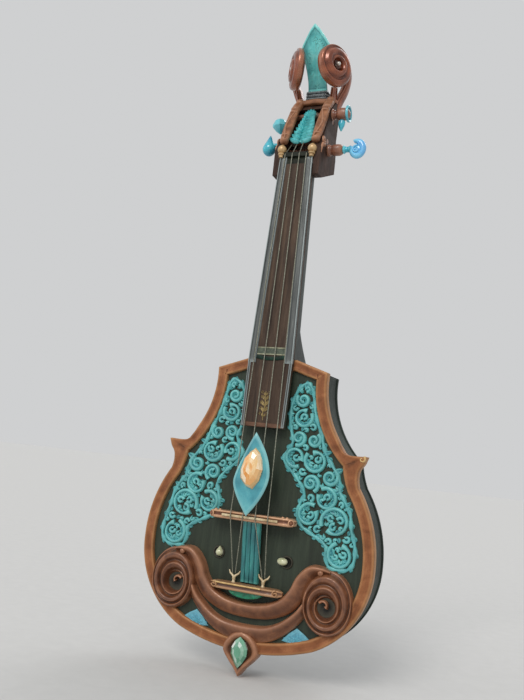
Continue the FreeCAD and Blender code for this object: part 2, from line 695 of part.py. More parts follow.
def make_nut():
    """Grooved nut, and a gold knob at the top of each rail."""
    level = size("nut_level")
    half = size("nut_half")
    front = nut_front()
    thick = size("nut_thick")
    blank = Part.makeBox(2 * half, thick, thick, Vector(-half, front, level - thick / 2))
    taken = PARTS["pegbox"].Shape.fuse(PARTS["fingerboard"].Shape)
    feature("nut", biggest(blank.cut(taken)))
    knobs = []
    for index, side in enumerate((-1, 1)):
        centre = (side * size("knob_half"), size("knob_depth"), size("knob_level"))
        ball = Part.makeSphere(size("knob_size"), Vector(*centre))
        stem = Part.makeCylinder(2.6, 12.0, Vector(centre[0], centre[1] - 1.5, centre[2] - 12.0))
        knobs.append(biggest(ball.fuse(stem).cut(PARTS["pegbox"].Shape).cut(PARTS["nut"].Shape)))
    feature("nut_knobs", Part.makeCompound(knobs))


# ---------------------------------------------------------------- pegbox and pegs

# Side view of the pegbox as (depth, level): front edge upwards, then the back edge down.
PEGBOX_FRONT = [(6.2, 0.0), (6.2, 30.0), (12.5, 39.0), (36.5, 89.0), (50.0, 104.0)]
PEGBOX_BACK = [(66.0, 107.0), (63.0, 70.0), (60.5, 40.0), (60.0, 20.5), (18.0, 0.0)]
CAVITY = [(1.0, 24.2), (20.0, 24.2), (30.0, 22.0), (40.0, 26.0), (48.0, 42.0), (53.0, 68.0),
          (56.0, 88.0), (52.0, 94.0), (30.0, 93.0), (1.0, 36.0)]

# side: which side the head is on. cheek: how far out that cheek's face is at the peg.
PEGS = {
    1: {"side": 1, "depth": 30.0, "level": 36.5, "cheek": 26.5, "collar": 18.0, "collar_radius": 6.4},
    2: {"side": -1, "depth": 30.0, "level": 47.0, "cheek": 26.1, "collar": 5.0, "collar_radius": 4.2},
    3: {"side": -1, "depth": 46.0, "level": 78.0, "cheek": 24.3, "collar": 5.0, "collar_radius": 4.2},
    4: {"side": 1, "depth": 41.0, "level": 84.5, "cheek": 24.3, "collar": 16.5, "collar_radius": 7.2},
}
PEG_OF_STRING = {1: 2, 2: 3, 3: 4, 4: 1}


def make_pegbox():
    """One carved block: solid below the nut, two cheeks above, bored for the pegs."""
    body = design_body("pegbox")
    half = size("pegbox_half")
    profile = lines(PEGBOX_FRONT + PEGBOX_BACK)
    pad(body, sketch_on(body, "side", -half, [profile]), "2 * Sizes.pegbox_half")
    doc.recompute()
    solid_volume = body.Shape.Volume
    pocket(body, sketch_on(body, "side", -size("cavity_half"), [lines(CAVITY)]),
           "2 * Sizes.cavity_half", along_normal=True)
    cheek = size("cheek_half_top")
    waste = [(half, size("taper_start")), (cheek, size("taper_end")), (cheek, 115.0), (half + 5.0, 115.0),
             (half + 5.0, size("taper_start"))]
    wires = [lines([(side * x, z) for x, z in waste]) for side in (1, -1)]
    pocket(body, sketch_on(body, "front", 0.0, wires), "3 * Sizes.pegbox_half")
    board_half = size("neck_half_top") + 0.1
    board_top = size("board_top_level") + 0.1
    groove_half = size("nut_half")
    groove_top = size("nut_level") - size("nut_thick") / 2
    seat = [(board_half, -1.0), (board_half, board_top), (groove_half, board_top),
            (groove_half, groove_top)]
    pocket(body, sketch_on(body, "front", 0.0, [lines(seat + mirror(seat))]), "Sizes.seat_depth")
    bores = [circle(peg["depth"], peg["level"], size("shaft_radius") + size("shaft_clearance"))
             for peg in PEGS.values()]
    pocket(body, sketch_on(body, "side", -half - 1.0, bores), "2 * Sizes.pegbox_half + 2",
           along_normal=True)
    doc.recompute()
    if not body.Shape.Volume < 0.8 * solid_volume:
        raise RuntimeError("the pegbox cavity was not cut")


def revolve_x(profile, peg):
    """Solid of revolution about a peg's axis, from (x, radius) points."""
    points = [Vector(x, 0, radius) for x, radius in profile]
    points = [Vector(profile[0][0], 0, 0)] + points + [Vector(profile[-1][0], 0, 0)]
    solid = Part.Face(Part.makePolygon(points + points[:1])).revolve(Vector(0, 0, 0), Vector(1, 0, 0), 360)
    solid.translate(Vector(0, peg["depth"], peg["level"]))
    return solid


def make_peg_shaft(number, peg):
    """Turned shaft through both cheeks, with a collar outside the cheek on the head's side."""
    side = peg["side"]
    shaft = size("shaft_radius")
    outside = peg["cheek"] + size("cheek_gap")
    collar = peg["collar_radius"]
    far_end = -peg["cheek"]
    end = outside + peg["collar"]
    profile = [(far_end + 0.4, shaft - 0.5), (far_end + 0.9, shaft), (outside, shaft),
               (outside, collar - 0.8), (outside + 0.8, collar), (end - 1.5, collar), (end, collar - 1.5)]
    solid = revolve_x([(side * x, radius) for x, radius in profile], peg)
    feature(f"peg_shaft_{number}", solid)


def make_windings():
    """The turns of each string round its peg: a plain sleeve on the shaft."""
    for index, number in PEG_OF_STRING.items():
        peg = PEGS[number]
        centre = (index - 2.5) * size("string_spread_nut")
        sleeve = cylinder(f"winding_sleeve_{number}",
                          (centre - size("winding_wide") / 2, peg["depth"], peg["level"]), (1, 0, 0),
                          Radius="Sizes.winding_radius", Height="Sizes.winding_wide")
        hole = cylinder(f"winding_hole_{number}",
                        (centre - size("winding_wide") / 2, peg["depth"], peg["level"]), (1, 0, 0),
                        Radius="Sizes.shaft_radius", Height="Sizes.winding_wide")
        ring = doc.addObject("Part::Cut", f"winding_{number}")
        ring.Base = sleeve
        ring.Tool = hole
        register(f"winding_{number}", ring)


def head_place(peg, out):
    """A point on a peg's axis, this far beyond its collar."""
    reach = peg["cheek"] + size("cheek_gap") + peg["collar"] + out
    return Vector(peg["side"] * reach, peg["depth"], peg["level"])


def make_fan_head():
    """Peg 1: a stem and an upright shell-shaped fan, open on top."""
    peg = PEGS[1]
    stem = Part.makeCone(4.6, 3.0, 8.0, head_place(peg, 0.0), Vector(1, 0, 0))
    centre = head_place(peg, 16.0)
    fan = Part.makeCylinder(11.8, 7.0, centre - Vector(0, 3.5, 0), Vector(0, 1, 0))
    bite = Part.makeCylinder(5.0, 9.0, centre + Vector(-7.5, -4.5, 6.5), Vector(0, 1, 0))
    feature("peg_head_1", biggest(stem.fuse(fan).cut(bite)))


def make_drop_head():
    """Peg 2: a short link and an upright teardrop."""
    peg = PEGS[2]
    stem = Part.makeCylinder(2.4, 9.0, head_place(peg, 0.0), Vector(-1, 0, 0))
    centre = head_place(peg, 13.0) + Vector(0, 0, -5.0)
    drop = Part.makeSphere(7.8, centre)
    tip = Part.makeCone(7.5, 1.0, 15.0, centre + Vector(0, 0, 2.2), Vector(0, 0, 1))
    feature("peg_head_2", biggest(stem.fuse(drop).fuse(tip)))


def make_heart_head():
    """Peg 3: a short link and a pointed cut stone."""
    peg = PEGS[3]
    stem = Part.makeCylinder(2.4, 6.0, head_place(peg, 0.0), Vector(-1, 0, 0))
    low = Part.makeCone(3.0, 9.0, 9.0, head_place(peg, 11.0) - Vector(0, 0, 10.0), Vector(0, 0, 1))
    high = Part.makeCone(9.0, 2.0, 10.5, head_place(peg, 11.0) - Vector(0, 0, 1.0), Vector(0, 0, 1))
    feature("peg_head_3", biggest(stem.fuse(low).fuse(high)))


def make_ring_head():
    """Peg 4: a thin disc on edge with a pendant leaf below it."""
    peg = PEGS[4]
    disc = Part.makeCylinder(9.5, 5.0, head_place(peg, 0.0), Vector(1, 0, 0))
    leaf = Part.makeCone(3.6, 1.2, 14.0, head_place(peg, 2.5) - Vector(0, 0, 7.0), Vector(0, 0, -1))
    feature("peg_head_4", biggest(disc.fuse(leaf)))


# Corners of a square section, as signs of its half width and half depth.
SQUARE = [(-1, -1), (1, -1), (1, 1), (-1, 1)]
# Centre line of the right-hand beam, from the knobs up to the crossbar.
BEAM_LINE = [(18.6, 9.4, 41.0), (18.7, 33.8, 90.5), (18.5, 46.0, 104.6)]


def knuckle(centre, sides=12):
    """Short many-sided roller across a beam's joint."""
    wide = size("beam_wide") - 0.4
    radius = size("bead_size")
    ring = [Vector(0, radius * math.cos(turn), radius * math.sin(turn))
            for turn in (2 * math.pi * (k + 0.5) / sides for k in range(sides))]
    roller = Part.Face(Part.makePolygon(ring + ring[:1])).extrude(Vector(wide, 0, 0))
    roller.translate(centre - Vector(wide / 2, 0, 0))
    return roller


def beam(points):
    """Flat bar through points, with a knuckle at each of them."""
    half = size("beam_wide") / 2
    deep = size("beam_deep") / 2
    solid = knuckle(points[0])
    for start, end in zip(points, points[1:]):
        rings = []
        for point in (start, end):
            corners = [point + Vector(u * half, v * deep, 0) for u, v in SQUARE]
            rings.append(Part.makePolygon(corners + corners[:1]))
        solid = solid.fuse([Part.makeLoft(rings, True, True), knuckle(end)])
    return solid


def make_pegbox_frame():
    """Carved beams along the pegbox's front edges, joined by a crossbar at the top."""
    sides = [beam([Vector(side * x, y, z) for x, y, z in BEAM_LINE]) for side in (-1, 1)]
    deep = size("beam_deep")
    half, depth, level = BEAM_LINE[-1]
    bar = Part.makeBox(2 * half, deep, deep, Vector(-half, depth - deep / 2, level - deep / 2))
    frame = sides[0].fuse([sides[1], bar]).cut(PARTS["pegbox"].Shape)
    frame = frame.cut(PARTS["nut_knobs"].Shape)
    feature("pegbox_frame", biggest(frame))


def make_leaf():
    """Acanthus leaf between the beams, covering the front of the pegbox."""
    half = size("leaf_half")
    right = [(half * 0.55, 0.0), (half, 8.0), (half * 0.86, 15.0), (half * 1.08, 24.0),
             (half * 0.85, 32.0), (half * 0.9, 41.0), (half * 0.5, 47.0)]
    leaf = plate([lines([(0.0, 2.5)] + right + [(0.0, 55.0)] + mirror(right))], 0.0, size("leaf_thick"))
    low, high = BEAM_LINE[:2]
    lean = math.degrees(math.atan2(high[1] - low[1], high[2] - low[2]))
    leaf.rotate(Vector(0, 0, 0), Vector(1, 0, 0), -lean)
    leaf.translate(Vector(0, 10.5, 38.0))
    feature("leaf_ornament", leaf.cut(PARTS["pegbox"].Shape).cut(PARTS["pegbox_frame"].Shape))


# ---------------------------------------------------------------- head

def turned(outline, base, axis):
    """Solid of revolution from (radius, height) points, standing on base along axis."""
    corners = [Vector(radius, 0, height) for radius, height in outline]
    face = Part.Face(Part.makePolygon(corners + corners[:1]))
    solid = face.revolve(Vector(0, 0, 0), Vector(0, 0, 1), 360)
    solid.Placement = Placement(base, Rotation(Vector(0, 0, 1), axis))
    return solid


def scroll_axes(side):
    splay = math.radians(size("scroll_splay"))
    normal = Vector(side * math.cos(splay), -math.sin(splay), 0)
    centre = Vector(side * size("scroll_half"), size("scroll_depth"), size("scroll_level"))
    return centre, normal


def make_scrolls():
    """Two thick scroll discs splayed towards the front, on arms from the pegbox's top."""
    pins = []
    arms = []
    for side, label in ((-1, "scroll_left"), (1, "scroll_right")):
        centre, normal = scroll_axes(side)
        edge = size("scroll_radius")
        disc = turned([(0.0, -7.0), (edge - 4.0, -7.0), (edge, -4.0), (edge, 1.0), (edge - 2.5, 3.5),
                       (13.0, 7.0), (7.0, 7.5), (5.0, 6.5), (5.0, 0.0), (0.0, 0.0)], centre, normal)
        feature(label, disc)
        outline = [(0.0, 0.0), (1.8, 0.0), (1.8, 4.0), (2.6, 4.6), (2.6, 6.0), (1.6, 7.2), (0.0, 7.6)]
        pins.append(turned(outline, centre, normal))
        arms.append(scroll_arm(side).cut(disc))
    feature("scroll_pins", Part.makeCompound(pins))
    taken = PARTS["pegbox"].Shape.fuse(PARTS["pegbox_frame"].Shape)
    feature("scroll_arms", Part.makeCompound([biggest(arm.cut(taken)) for arm in arms]))


def strap(stations):
    """Flat bar through square-cornered sections: width centre, depth, level, half width, half depth."""
    rings = []
    for across, depth, level, half, deep in stations:
        corners = [Vector(across + u * half, depth + v * deep, level) for u, v in SQUARE]
        rings.append(Part.makePolygon(corners + corners[:1]))
    return Part.makeLoft(rings, True, True)


def scroll_arm(side):
    """Strap rising behind the scroll from the pegbox's top corner, and a stem in front of it."""
    half = size("arm_wide") / 2
    deep = size("arm_deep") / 2
    back = [(20.0, 58.0, 96.0, 4.0, deep), (23.0, 62.0, 110.0, half, deep), (28.5, 62.5, 124.0, half, deep),
            (32.5, 58.5, 137.0, 4.0, deep * 0.9), (34.0, 53.5, 147.0, 3.0, deep * 0.6)]
    stem = [(19.0, 52.0, 99.0, 3.6, 6.0), (20.0, 50.0, 110.0, 3.4, 7.5), (21.5, 46.0, 121.0, 3.0, 7.0)]
    solids = [strap([(side * across, *rest) for across, *rest in stations]) for stations in (back, stem)]
    foot = Part.makeBox(8.0, 15.0, 8.0, Vector(side * 20.0 - 4.0, 48.0, 100.0))
    return solids[0].fuse([solids[1], foot])


def make_lance():
    """Leaf-shaped blade leaning forward between the scrolls, on a beaded collar."""
    length = math.hypot(size("lance_tip_level") - size("lance_base_level"),
                        size("lance_base_depth") - size("lance_tip_depth"))
    half = size("lance_half")
    right = [(11.8, 0.0), (11.0, 12.0), (12.4, 26.0), (15.2, 40.0), (half, 51.0)]
    blade = plate([lines(right + [(0.0, length)] + mirror(right))], -size("lance_thick") / 2,
                  size("lance_thick"))
    lean = math.degrees(math.atan2(size("lance_base_depth") - size("lance_tip_depth"),
                                   size("lance_tip_level") - size("lance_base_level")))
    blade.rotate(Vector(0, 0, 0), Vector(1, 0, 0), lean)
    blade.translate(Vector(0, size("lance_base_depth"), size("lance_base_level")))
    collar = Part.makeBox(2 * size("collar_half"), 12.0, size("collar_high") + 4.0,
                          Vector(-size("collar_half"), 47.0, size("lance_base_level") - 11.0))
    taken = PARTS["pegbox_frame"].Shape.fuse([PARTS["pegbox"].Shape, PARTS["scroll_arms"].Shape])
    collar = biggest(collar.cut(taken))
    feature("lance_collar", collar)
    others = [PARTS[name].Shape for name in ("scroll_left", "scroll_right", "scroll_arms")]
    feature("lance_blade", biggest(blade.cut(collar).cut(others[0]).cut(others[1]).cut(others[2])))


# ---------------------------------------------------------------- strings

def string_solid(index, extra=0.0):
    """Taut round string: straight runs with a round joint at the bridge and at the nut."""
    points = string_points(index)
    radius = size("string_radius") + extra
    solid = None
    for start, end in zip(points, points[1:]):
        run = Part.makeCylinder(radius, (end - start).Length, start, end - start)
        solid = run if solid is None else solid.fuse([run, Part.makeSphere(radius, start)])
    return solid


def make_strings():
    for index in (1, 2, 3, 4):
        feature(f"string_{index}", string_solid(index))


def groove(label):
    """Cut string grooves, with clearance, in a finished sub-part."""
    part = PARTS[label]
    if part.TypeId != "Part::Feature":
        tool = doc.addObject("Part::Feature", label + "_grooves")
        tool.Shape = Part.makeCompound([string_solid(i, size("string_gap")) for i in (1, 2, 3, 4)])
        grooved = doc.addObject("Part::Cut", label + "_grooved")
        grooved.Base = part
        grooved.Tool = tool
        part.Label = label + "_blank"
        register(label, grooved)
        return
    shape = part.Shape
    for index in (1, 2, 3, 4):
        shape = shape.cut(string_solid(index, size("string_gap")))
    part.Shape = biggest(shape)


# ---------------------------------------------------------------- build, check and write

def build():
    make_rim()
    doc.recompute()
    make_plates()
    make_inside()
    make_filigree()
    taken = make_lower_carving()
    make_bottom_jewel(taken)
    make_pearls()
    make_plaque()
    make_bridge()
    make_tailpiece()
    make_hooks()
    make_pegbox()
    make_neck()
    make_fingerboard()
    make_fingerboard_inlay()
    make_nut()
    for number, peg in PEGS.items():
        make_peg_shaft(number, peg)
    make_windings()
    make_fan_head()
    make_drop_head()
    make_heart_head()
    make_ring_head()
    make_pegbox_frame()
    make_leaf()
    make_scrolls()
    make_lance()
    make_strings()
    for label in ("nut", "bridge", "bridge_saddle", "leaf_ornament"):
        groove(label)


def check_and_write():
    doc.recompute()
    failed = [obj.Label for obj in doc.Objects if "Invalid" in obj.State or "Error" in obj.State]
    if failed:
        raise RuntimeError("failed objects: " + ", ".join(failed))
    os.makedirs("parts", exist_ok=True)
    for label, obj in PARTS.items():
        shape = obj.Shape
        if shape.isNull() or not shape.isValid():
            raise RuntimeError(f"{label} has no valid shape")
        shape.exportStep(f"parts/{label}.step")
        print(f"{label}: {len(shape.Solids)} solid(s), {shape.Volume:.0f} mm3")
    print(len(PARTS), "sub-parts")


build()
check_and_write()
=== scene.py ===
import random
from math import atan2, copysign, cos, degrees, hypot, pi, radians, sin

import bmesh
import bpy
from mathutils import Matrix, Vector


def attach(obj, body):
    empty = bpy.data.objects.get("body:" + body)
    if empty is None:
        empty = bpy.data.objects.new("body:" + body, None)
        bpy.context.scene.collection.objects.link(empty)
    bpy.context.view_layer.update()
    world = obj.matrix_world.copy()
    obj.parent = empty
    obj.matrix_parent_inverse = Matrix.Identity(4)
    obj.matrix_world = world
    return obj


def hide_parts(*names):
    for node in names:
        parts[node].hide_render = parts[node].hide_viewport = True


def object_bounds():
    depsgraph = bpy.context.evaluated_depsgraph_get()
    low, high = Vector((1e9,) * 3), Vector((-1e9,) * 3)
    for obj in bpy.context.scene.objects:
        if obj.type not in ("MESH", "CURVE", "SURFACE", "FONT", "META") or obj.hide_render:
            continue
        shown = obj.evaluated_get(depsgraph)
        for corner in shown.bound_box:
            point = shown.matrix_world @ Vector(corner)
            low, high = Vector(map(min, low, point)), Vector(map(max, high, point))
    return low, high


# Looks for the four-string ornamental lute. Shapes are worked out in millimetres in the CAD
# frame (+Z up the neck, front towards -Y) and scaled to metres when a mesh is made.

MM = 0.001
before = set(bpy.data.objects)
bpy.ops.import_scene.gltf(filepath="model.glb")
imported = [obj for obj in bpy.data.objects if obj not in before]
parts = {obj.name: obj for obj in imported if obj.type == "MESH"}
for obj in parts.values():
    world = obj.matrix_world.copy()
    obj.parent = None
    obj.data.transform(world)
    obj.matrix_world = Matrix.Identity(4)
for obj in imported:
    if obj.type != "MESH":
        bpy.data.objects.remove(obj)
cad_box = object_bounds()
scene = bpy.context.scene


# ------------------------------------------------------------------ curves and surfaces

def smooth(points, steps, closed=False):
    """Catmull-Rom curve through control tuples of any length."""
    count = len(points)
    result = []
    for span in range(count if closed else count - 1):
        if closed:
            four = [points[(span + k) % count] for k in (-1, 0, 1, 2)]
        else:
            four = [points[min(max(span + k, 0), count - 1)] for k in (-1, 0, 1, 2)]
        for step in range(steps):
            t = step / steps
            result.append(tuple(0.5 * (2 * b + (c - a) * t + (2 * a - 5 * b + 4 * c - d) * t * t
                + (3 * b - a - 3 * c + d) * t ** 3) for a, b, c, d in zip(*four)))
    if not closed:
        result.append(tuple(points[-1]))
    return result


def arc(start, middle, end, steps):
    """Points on the circle through three (x, z) points, from start up to but not including end."""
    (ax, az), (bx, bz), (cx, cz) = start, middle, end
    twist = 2 * (ax * (bz - cz) + bx * (cz - az) + cx * (az - bz))
    a2, b2, c2 = ax * ax + az * az, bx * bx + bz * bz, cx * cx + cz * cz
    ox = (a2 * (bz - cz) + b2 * (cz - az) + c2 * (az - bz)) / twist
    oz = (a2 * (cx - bx) + b2 * (ax - cx) + c2 * (bx - ax)) / twist
    radius = hypot(ax - ox, az - oz)
    first = atan2(az - oz, ax - ox)
    sweep = atan2(cz - oz, cx - ox) - first
    through = atan2(bz - oz, bx - ox) - first
    turn = 2 * pi
    if through % turn > sweep % turn:
        sweep = sweep % turn - turn
    else:
        sweep = sweep % turn
    angles = [first + sweep * k / steps for k in range(steps)]
    return [(ox + radius * cos(a), oz + radius * sin(a)) for a in angles]


def skin(rows, loop=False):
    """Closed surface through equal rings of points; loop joins the last ring to the first."""
    wide = len(rows[0])
    corners = [tuple(point) for row in rows for point in row]
    faces = []
    for r in range(len(rows) if loop else len(rows) - 1):
        low, high = r * wide, (r + 1) % len(rows) * wide
        for c in range(wide):
            after = (c + 1) % wide
            faces.append((low + c, low + after, high + after, high + c))
    if not loop:
        faces.append(tuple(range(wide)))
        faces.append(tuple(range(len(corners) - wide, len(corners))))
    return corners, faces


def board(level):
    """Placing for shapes drawn on a plane that faces the front, at this depth."""
    return lambda u, v, h: (u, level - h, v)


def plane(origin, along, normal):
    """Placing for shapes drawn on any plane: u across, v along, h out of it."""
    origin, along, normal = Vector(origin), Vector(along).normalized(), Vector(normal).normalized()
    across = along.cross(-normal)
    return lambda u, v, h: tuple(origin + across * u + along * v + normal * h)


ROUND = [(-1, 0), (-0.95, 0.45), (-0.7, 0.82), (-0.3, 0.98), (0.3, 0.98), (0.7, 0.82), (0.95, 0.45),
    (1, 0)]


def ribbon(path, section, place, loop=False):
    """Strand along (u, v, half width, height) stations, lying on a placed plane."""
    rows = []
    count = len(path)
    for i, (u, v, half, high) in enumerate(path):
        before = path[(i - 1) % count if loop else max(i - 1, 0)]
        after = path[(i + 1) % count if loop else min(i + 1, count - 1)]
        du, dv = after[0] - before[0], after[1] - before[1]
        length = hypot(du, dv)
        nu, nv = -dv / length * half, du / length * half
        rows.append([place(u + nu * s, v + nv * s, h * high) for s, h in section])
    return skin(rows, loop)


def dome(outline, centre, profile, place):
    """Closed shape of concentric copies of an outline: (scale, height) from the back inwards."""
    cu, cv = centre
    return skin([[place(cu + (u - cu) * scale, cv + (v - cv) * scale, high) for u, v in outline]
        for scale, high in profile])


def lathe(profile, base, axis, sides=40):
    """Turned shape: (height, radius) along an axis."""
    base, axis = Vector(base), Vector(axis).normalized()
    side = axis.orthogonal().normalized()
    up = axis.cross(side)
    rows = []
    for high, radius in profile:
        ring = []
        for k in range(sides):
            a = 2 * pi * k / sides
            out = side * cos(a) + up * sin(a)
            ring.append(tuple(base + axis * high + out * radius))
        rows.append(ring)
    return skin(rows)


def rail(path, section, across):
    """Bar along (x, y, z, half width, half thickness) stations, kept square to one direction."""
    rows = []
    last = len(path) - 1
    for i, (x, y, z, half, thick) in enumerate(path):
        before, after = path[max(i - 1, 0)], path[min(i + 1, last)]
        run = (Vector(after[:3]) - Vector(before[:3])).normalized()
        side = Vector(across)
        side = (side - run * side.dot(run)).normalized()
        up = run.cross(side)
        here = Vector((x, y, z))
        rows.append([tuple(here + side * u * half + up * v * thick) for u, v in section])
    return skin(rows)


def rounded(power=3, sides=20):
    """Ring of a square section with rounded corners."""
    ring = []
    for k in range(sides):
        a = 2 * pi * k / sides
        c, s = cos(a), sin(a)
        ring.append((copysign(abs(c) ** (2 / power), c), copysign(abs(s) ** (2 / power), s)))
    return ring


def ball(centre, radius, squash=1, axis=(0, 0, 1), rings=8, sides=16):
    """Bead, shortened along its axis by squash."""
    steps = [pi * k / rings for k in range(rings + 1)]
    profile = [(-cos(a) * radius * squash, max(sin(a), 0.03) * radius) for a in steps]
    return lathe(profile, centre, axis, sides)


def petal(place, start, heading, length, half, high, bend=0):
    """Pointed leaf with a sunk middle vein, growing from start towards heading degrees."""
    count = 12
    u, v = start
    angle = radians(heading)
    path = []
    for k in range(count + 1):
        t = k / count
        wide = half * max(sin(pi * min(t * 0.86 + 0.12, 1)) ** 0.8, 0.04)
        path.append((u, v, wide, high * (1 - 0.55 * t * t)))
        u += cos(angle) * length / count
        v += sin(angle) * length / count
        angle += radians(bend) / count
    section = [(-1, 0), (-0.9, 0.5), (-0.5, 0.95), (-0.12, 0.6), (0.12, 0.6), (0.5, 0.95),
        (0.9, 0.5), (1, 0)]
    return ribbon(path, section, place)


def curl(centre, radius, start, turns, half, high, inner=0.22):
    """Stations of a spiral that winds in to a bulb; negative turns wind the other way."""
    count = max(int(abs(turns) * 18), 8)
    path = []
    for k in range(count + 1):
        t = k / count
        a = radians(start) + 2 * pi * turns * t
        r = radius * (1 - (1 - inner) * t ** 0.85)
        wide = half * (1 - 0.35 * t) if t < 0.88 else half * (0.69 + 6 * (t - 0.88))
        path.append((centre[0] + r * cos(a), centre[1] + r * sin(a), wide, high))
    return path


def mirrored(path):
    """The same stations on the left."""
    return [(-station[0],) + tuple(station[1:]) for station in path]


def whole(right):
    """Closed outline from its right half; a point on the middle line counts once."""
    return right + [(-x, z) for x, z in reversed(right) if x]


def both_ways(left):
    """Section of (share, height) points from its left half."""
    return left + [(1 - share, high) for share, high in reversed(left)]


def side_petal(place, side, start, heading, length, half, high, bend=0):
    """A petal as drawn for the right side, or its mirror image for the left."""
    return petal(place, (side * start[0], start[1]), heading if side > 0 else 180 - heading, length,
        half, high, side * bend)


# ------------------------------------------------------------------ materials

def rgb(red, green, blue):
    """Linear colour from display values."""
    shares = [v / 255 for v in (red, green, blue)]
    return tuple(s / 12.92 if s <= 0.04045 else ((s + 0.055) / 1.055) ** 2.4 for s in shares) + (1,)


def add_noise(nodes, links, vector, scale, detail, distortion=0):
    noise = nodes.new("ShaderNodeTexNoise")
    noise.inputs["Scale"].default_value = scale
    noise.inputs["Detail"].default_value = detail
    noise.inputs["Distortion"].default_value = distortion
    links.new(vector, noise.inputs["Vector"])
    return noise.outputs["Fac"]


def add_ramp(nodes, links, value, stops):
    ramp = nodes.new("ShaderNodeValToRGB")
    elements = ramp.color_ramp.elements
    while len(elements) < len(stops):
        elements.new(0.5)
    for element, (place, colour) in zip(elements, stops):
        element.position = place
        element.color = colour
    links.new(value, ramp.inputs["Fac"])
    return ramp.outputs["Color"]


def add_mix(nodes, links, factor, first, second):
    mix = nodes.new("ShaderNodeMix")
    mix.data_type = "RGBA"
    links.new(factor, mix.inputs[0])
    links.new(first, mix.inputs[6])
    if isinstance(second, tuple):
        mix.inputs[7].default_value = second
    else:
        links.new(second, mix.inputs[7])
    return mix.outputs[2]


def add_range(nodes, links, value, low, high, to_low, to_high):
    span = nodes.new("ShaderNodeMapRange")
    links.new(value, span.inputs["Value"])
    for name, number in (("From Min", low), ("From Max", high), ("To Min", to_low),
            ("To Max", to_high)):
        span.inputs[name].default_value = number
    return span.outputs["Result"]


RELIEF = 0.0006
FINISHES = {}


def finish(name, tones, scale=60, stretch=(1, 1, 1), rough=0.5, spread=0.12, metal=0, coat=0,
        bump=0.25, worn=None, wear_and_highlight_amount=0.5, hollow_shade=None, sheen=0, clear=0, facet_glints=0, soft=0, gloss=0.5):
    """Procedural finish: mottled tones, edges paler from wear plus a painted edge highlight,
    hollows darkened with painted shade, fine relief.

    Facet noise gives every flat face its own tone by the way it faces, painted glints on cut
    stones; soft rounds the look of hard edges, in mm."""
    tones = [rgb(*tone) for tone in tones]
    material = bpy.data.materials.new(name)
    material.use_nodes = True
    nodes, links = material.node_tree.nodes, material.node_tree.links
    shader = nodes["Principled BSDF"]
    where = nodes.new("ShaderNodeTexCoord")
    mapping = nodes.new("ShaderNodeMapping")
    mapping.inputs["Scale"].default_value = stretch
    links.new(where.outputs["Object"], mapping.inputs["Vector"])
    vector = mapping.outputs["Vector"]
    broad = add_noise(nodes, links, vector, scale, 6, 0.6)
    fine = add_noise(nodes, links, vector, scale * 9, 4)
    geometry = nodes.new("ShaderNodeNewGeometry")
    # Tones keyed to each face's facing direction: painted glints on the facets of cut stones.
    if facet_glints:
        broad = add_noise(nodes, links, geometry.outputs["True Normal"], facet_glints, 2)
    colour = add_ramp(nodes, links, broad, [(0.3, tones[0]), (0.5, tones[1]), (0.7, tones[2])])
    speckle = add_range(nodes, links, fine, 0.35, 0.75, 0, 0.35)
    colour = add_mix(nodes, links, speckle, colour, tones[0])
    shape = geometry.outputs["Pointiness"]
    # Paler convex edges: partly wear, partly a painted highlight along the edges.
    if worn:
        colour = add_mix(nodes, links, add_range(nodes, links, shape, 0.505, 0.56, 0, wear_and_highlight_amount), colour,
            rgb(*worn))
    # Darker concave hollows: painted shade, as if light were blocked there.
    if hollow_shade:
        colour = add_mix(nodes, links, add_range(nodes, links, shape, 0.495, 0.44, 0, 0.85), colour,
            rgb(*hollow_shade))
    links.new(colour, shader.inputs["Base Color"])
    links.new(add_range(nodes, links, fine, 0.3, 0.7, rough - spread, rough + spread),
        shader.inputs["Roughness"])
    relief = nodes.new("ShaderNodeBump")
    relief.inputs["Strength"].default_value = bump
    relief.inputs["Distance"].default_value = RELIEF
    links.new(fine, relief.inputs["Height"])
    if soft:
        rounding = nodes.new("ShaderNodeBevel")
        rounding.samples = 4
        rounding.inputs["Radius"].default_value = soft * MM
        links.new(rounding.outputs["Normal"], relief.inputs["Normal"])
    links.new(relief.outputs["Normal"], shader.inputs["Normal"])
    for socket, value in (("Metallic", metal), ("Specular IOR Level", gloss), ("Coat Weight", coat),
            ("Coat Roughness", 0.18), ("Sheen Weight", sheen), ("Transmission Weight", clear)):
        shader.inputs[socket].default_value = value
    FINISHES[name] = material


# In the finishes below, the pale edge colour is wear plus a painted edge highlight, and the dark
# hollow colour is painted shade.
ALONG = (1, 1, 0.07)
COPPER = ((112, 66, 38), (142, 88, 54), (164, 108, 70))
TURQUOISE = ((28, 106, 118), (54, 146, 156), (86, 178, 182))
finish("carved_rim", COPPER, 70, rough=0.5, metal=0.15, coat=0.1, bump=0.3, worn=(206, 158, 106),
    hollow_shade=(48, 28, 18), gloss=0.25)
finish("carved_scrollwork", ((80, 46, 29), (112, 68, 43), (138, 90, 59)), 90, rough=0.42,
    metal=0.15, coat=0.2, bump=0.3, worn=(186, 132, 98), wear_and_highlight_amount=0.6, hollow_shade=(30, 16, 12))
finish("pegbox_wood", ((46, 30, 23), (63, 43, 34), (82, 59, 48)), 120, (1, 1, 0.25), rough=0.65,
    bump=0.15, soft=1.2, gloss=0.25)
finish("frame_wood", ((100, 60, 37), (138, 90, 59), (164, 111, 78)), 120, rough=0.45, coat=0.15,
    bump=0.3, worn=(196, 148, 120), hollow_shade=(52, 28, 20), gloss=0.25)
finish("scroll_copper", ((92, 42, 24), (130, 64, 38), (162, 88, 56)), 80, rough=0.26, spread=0.08,
    metal=0.3, coat=0.5, bump=0.12, worn=(200, 138, 104), hollow_shade=(30, 12, 8))
finish("soundboard_wood", ((38, 45, 36), (46, 55, 44), (55, 64, 51)), 160, ALONG, rough=0.55,
    coat=0.1, bump=0.35, gloss=0.25)
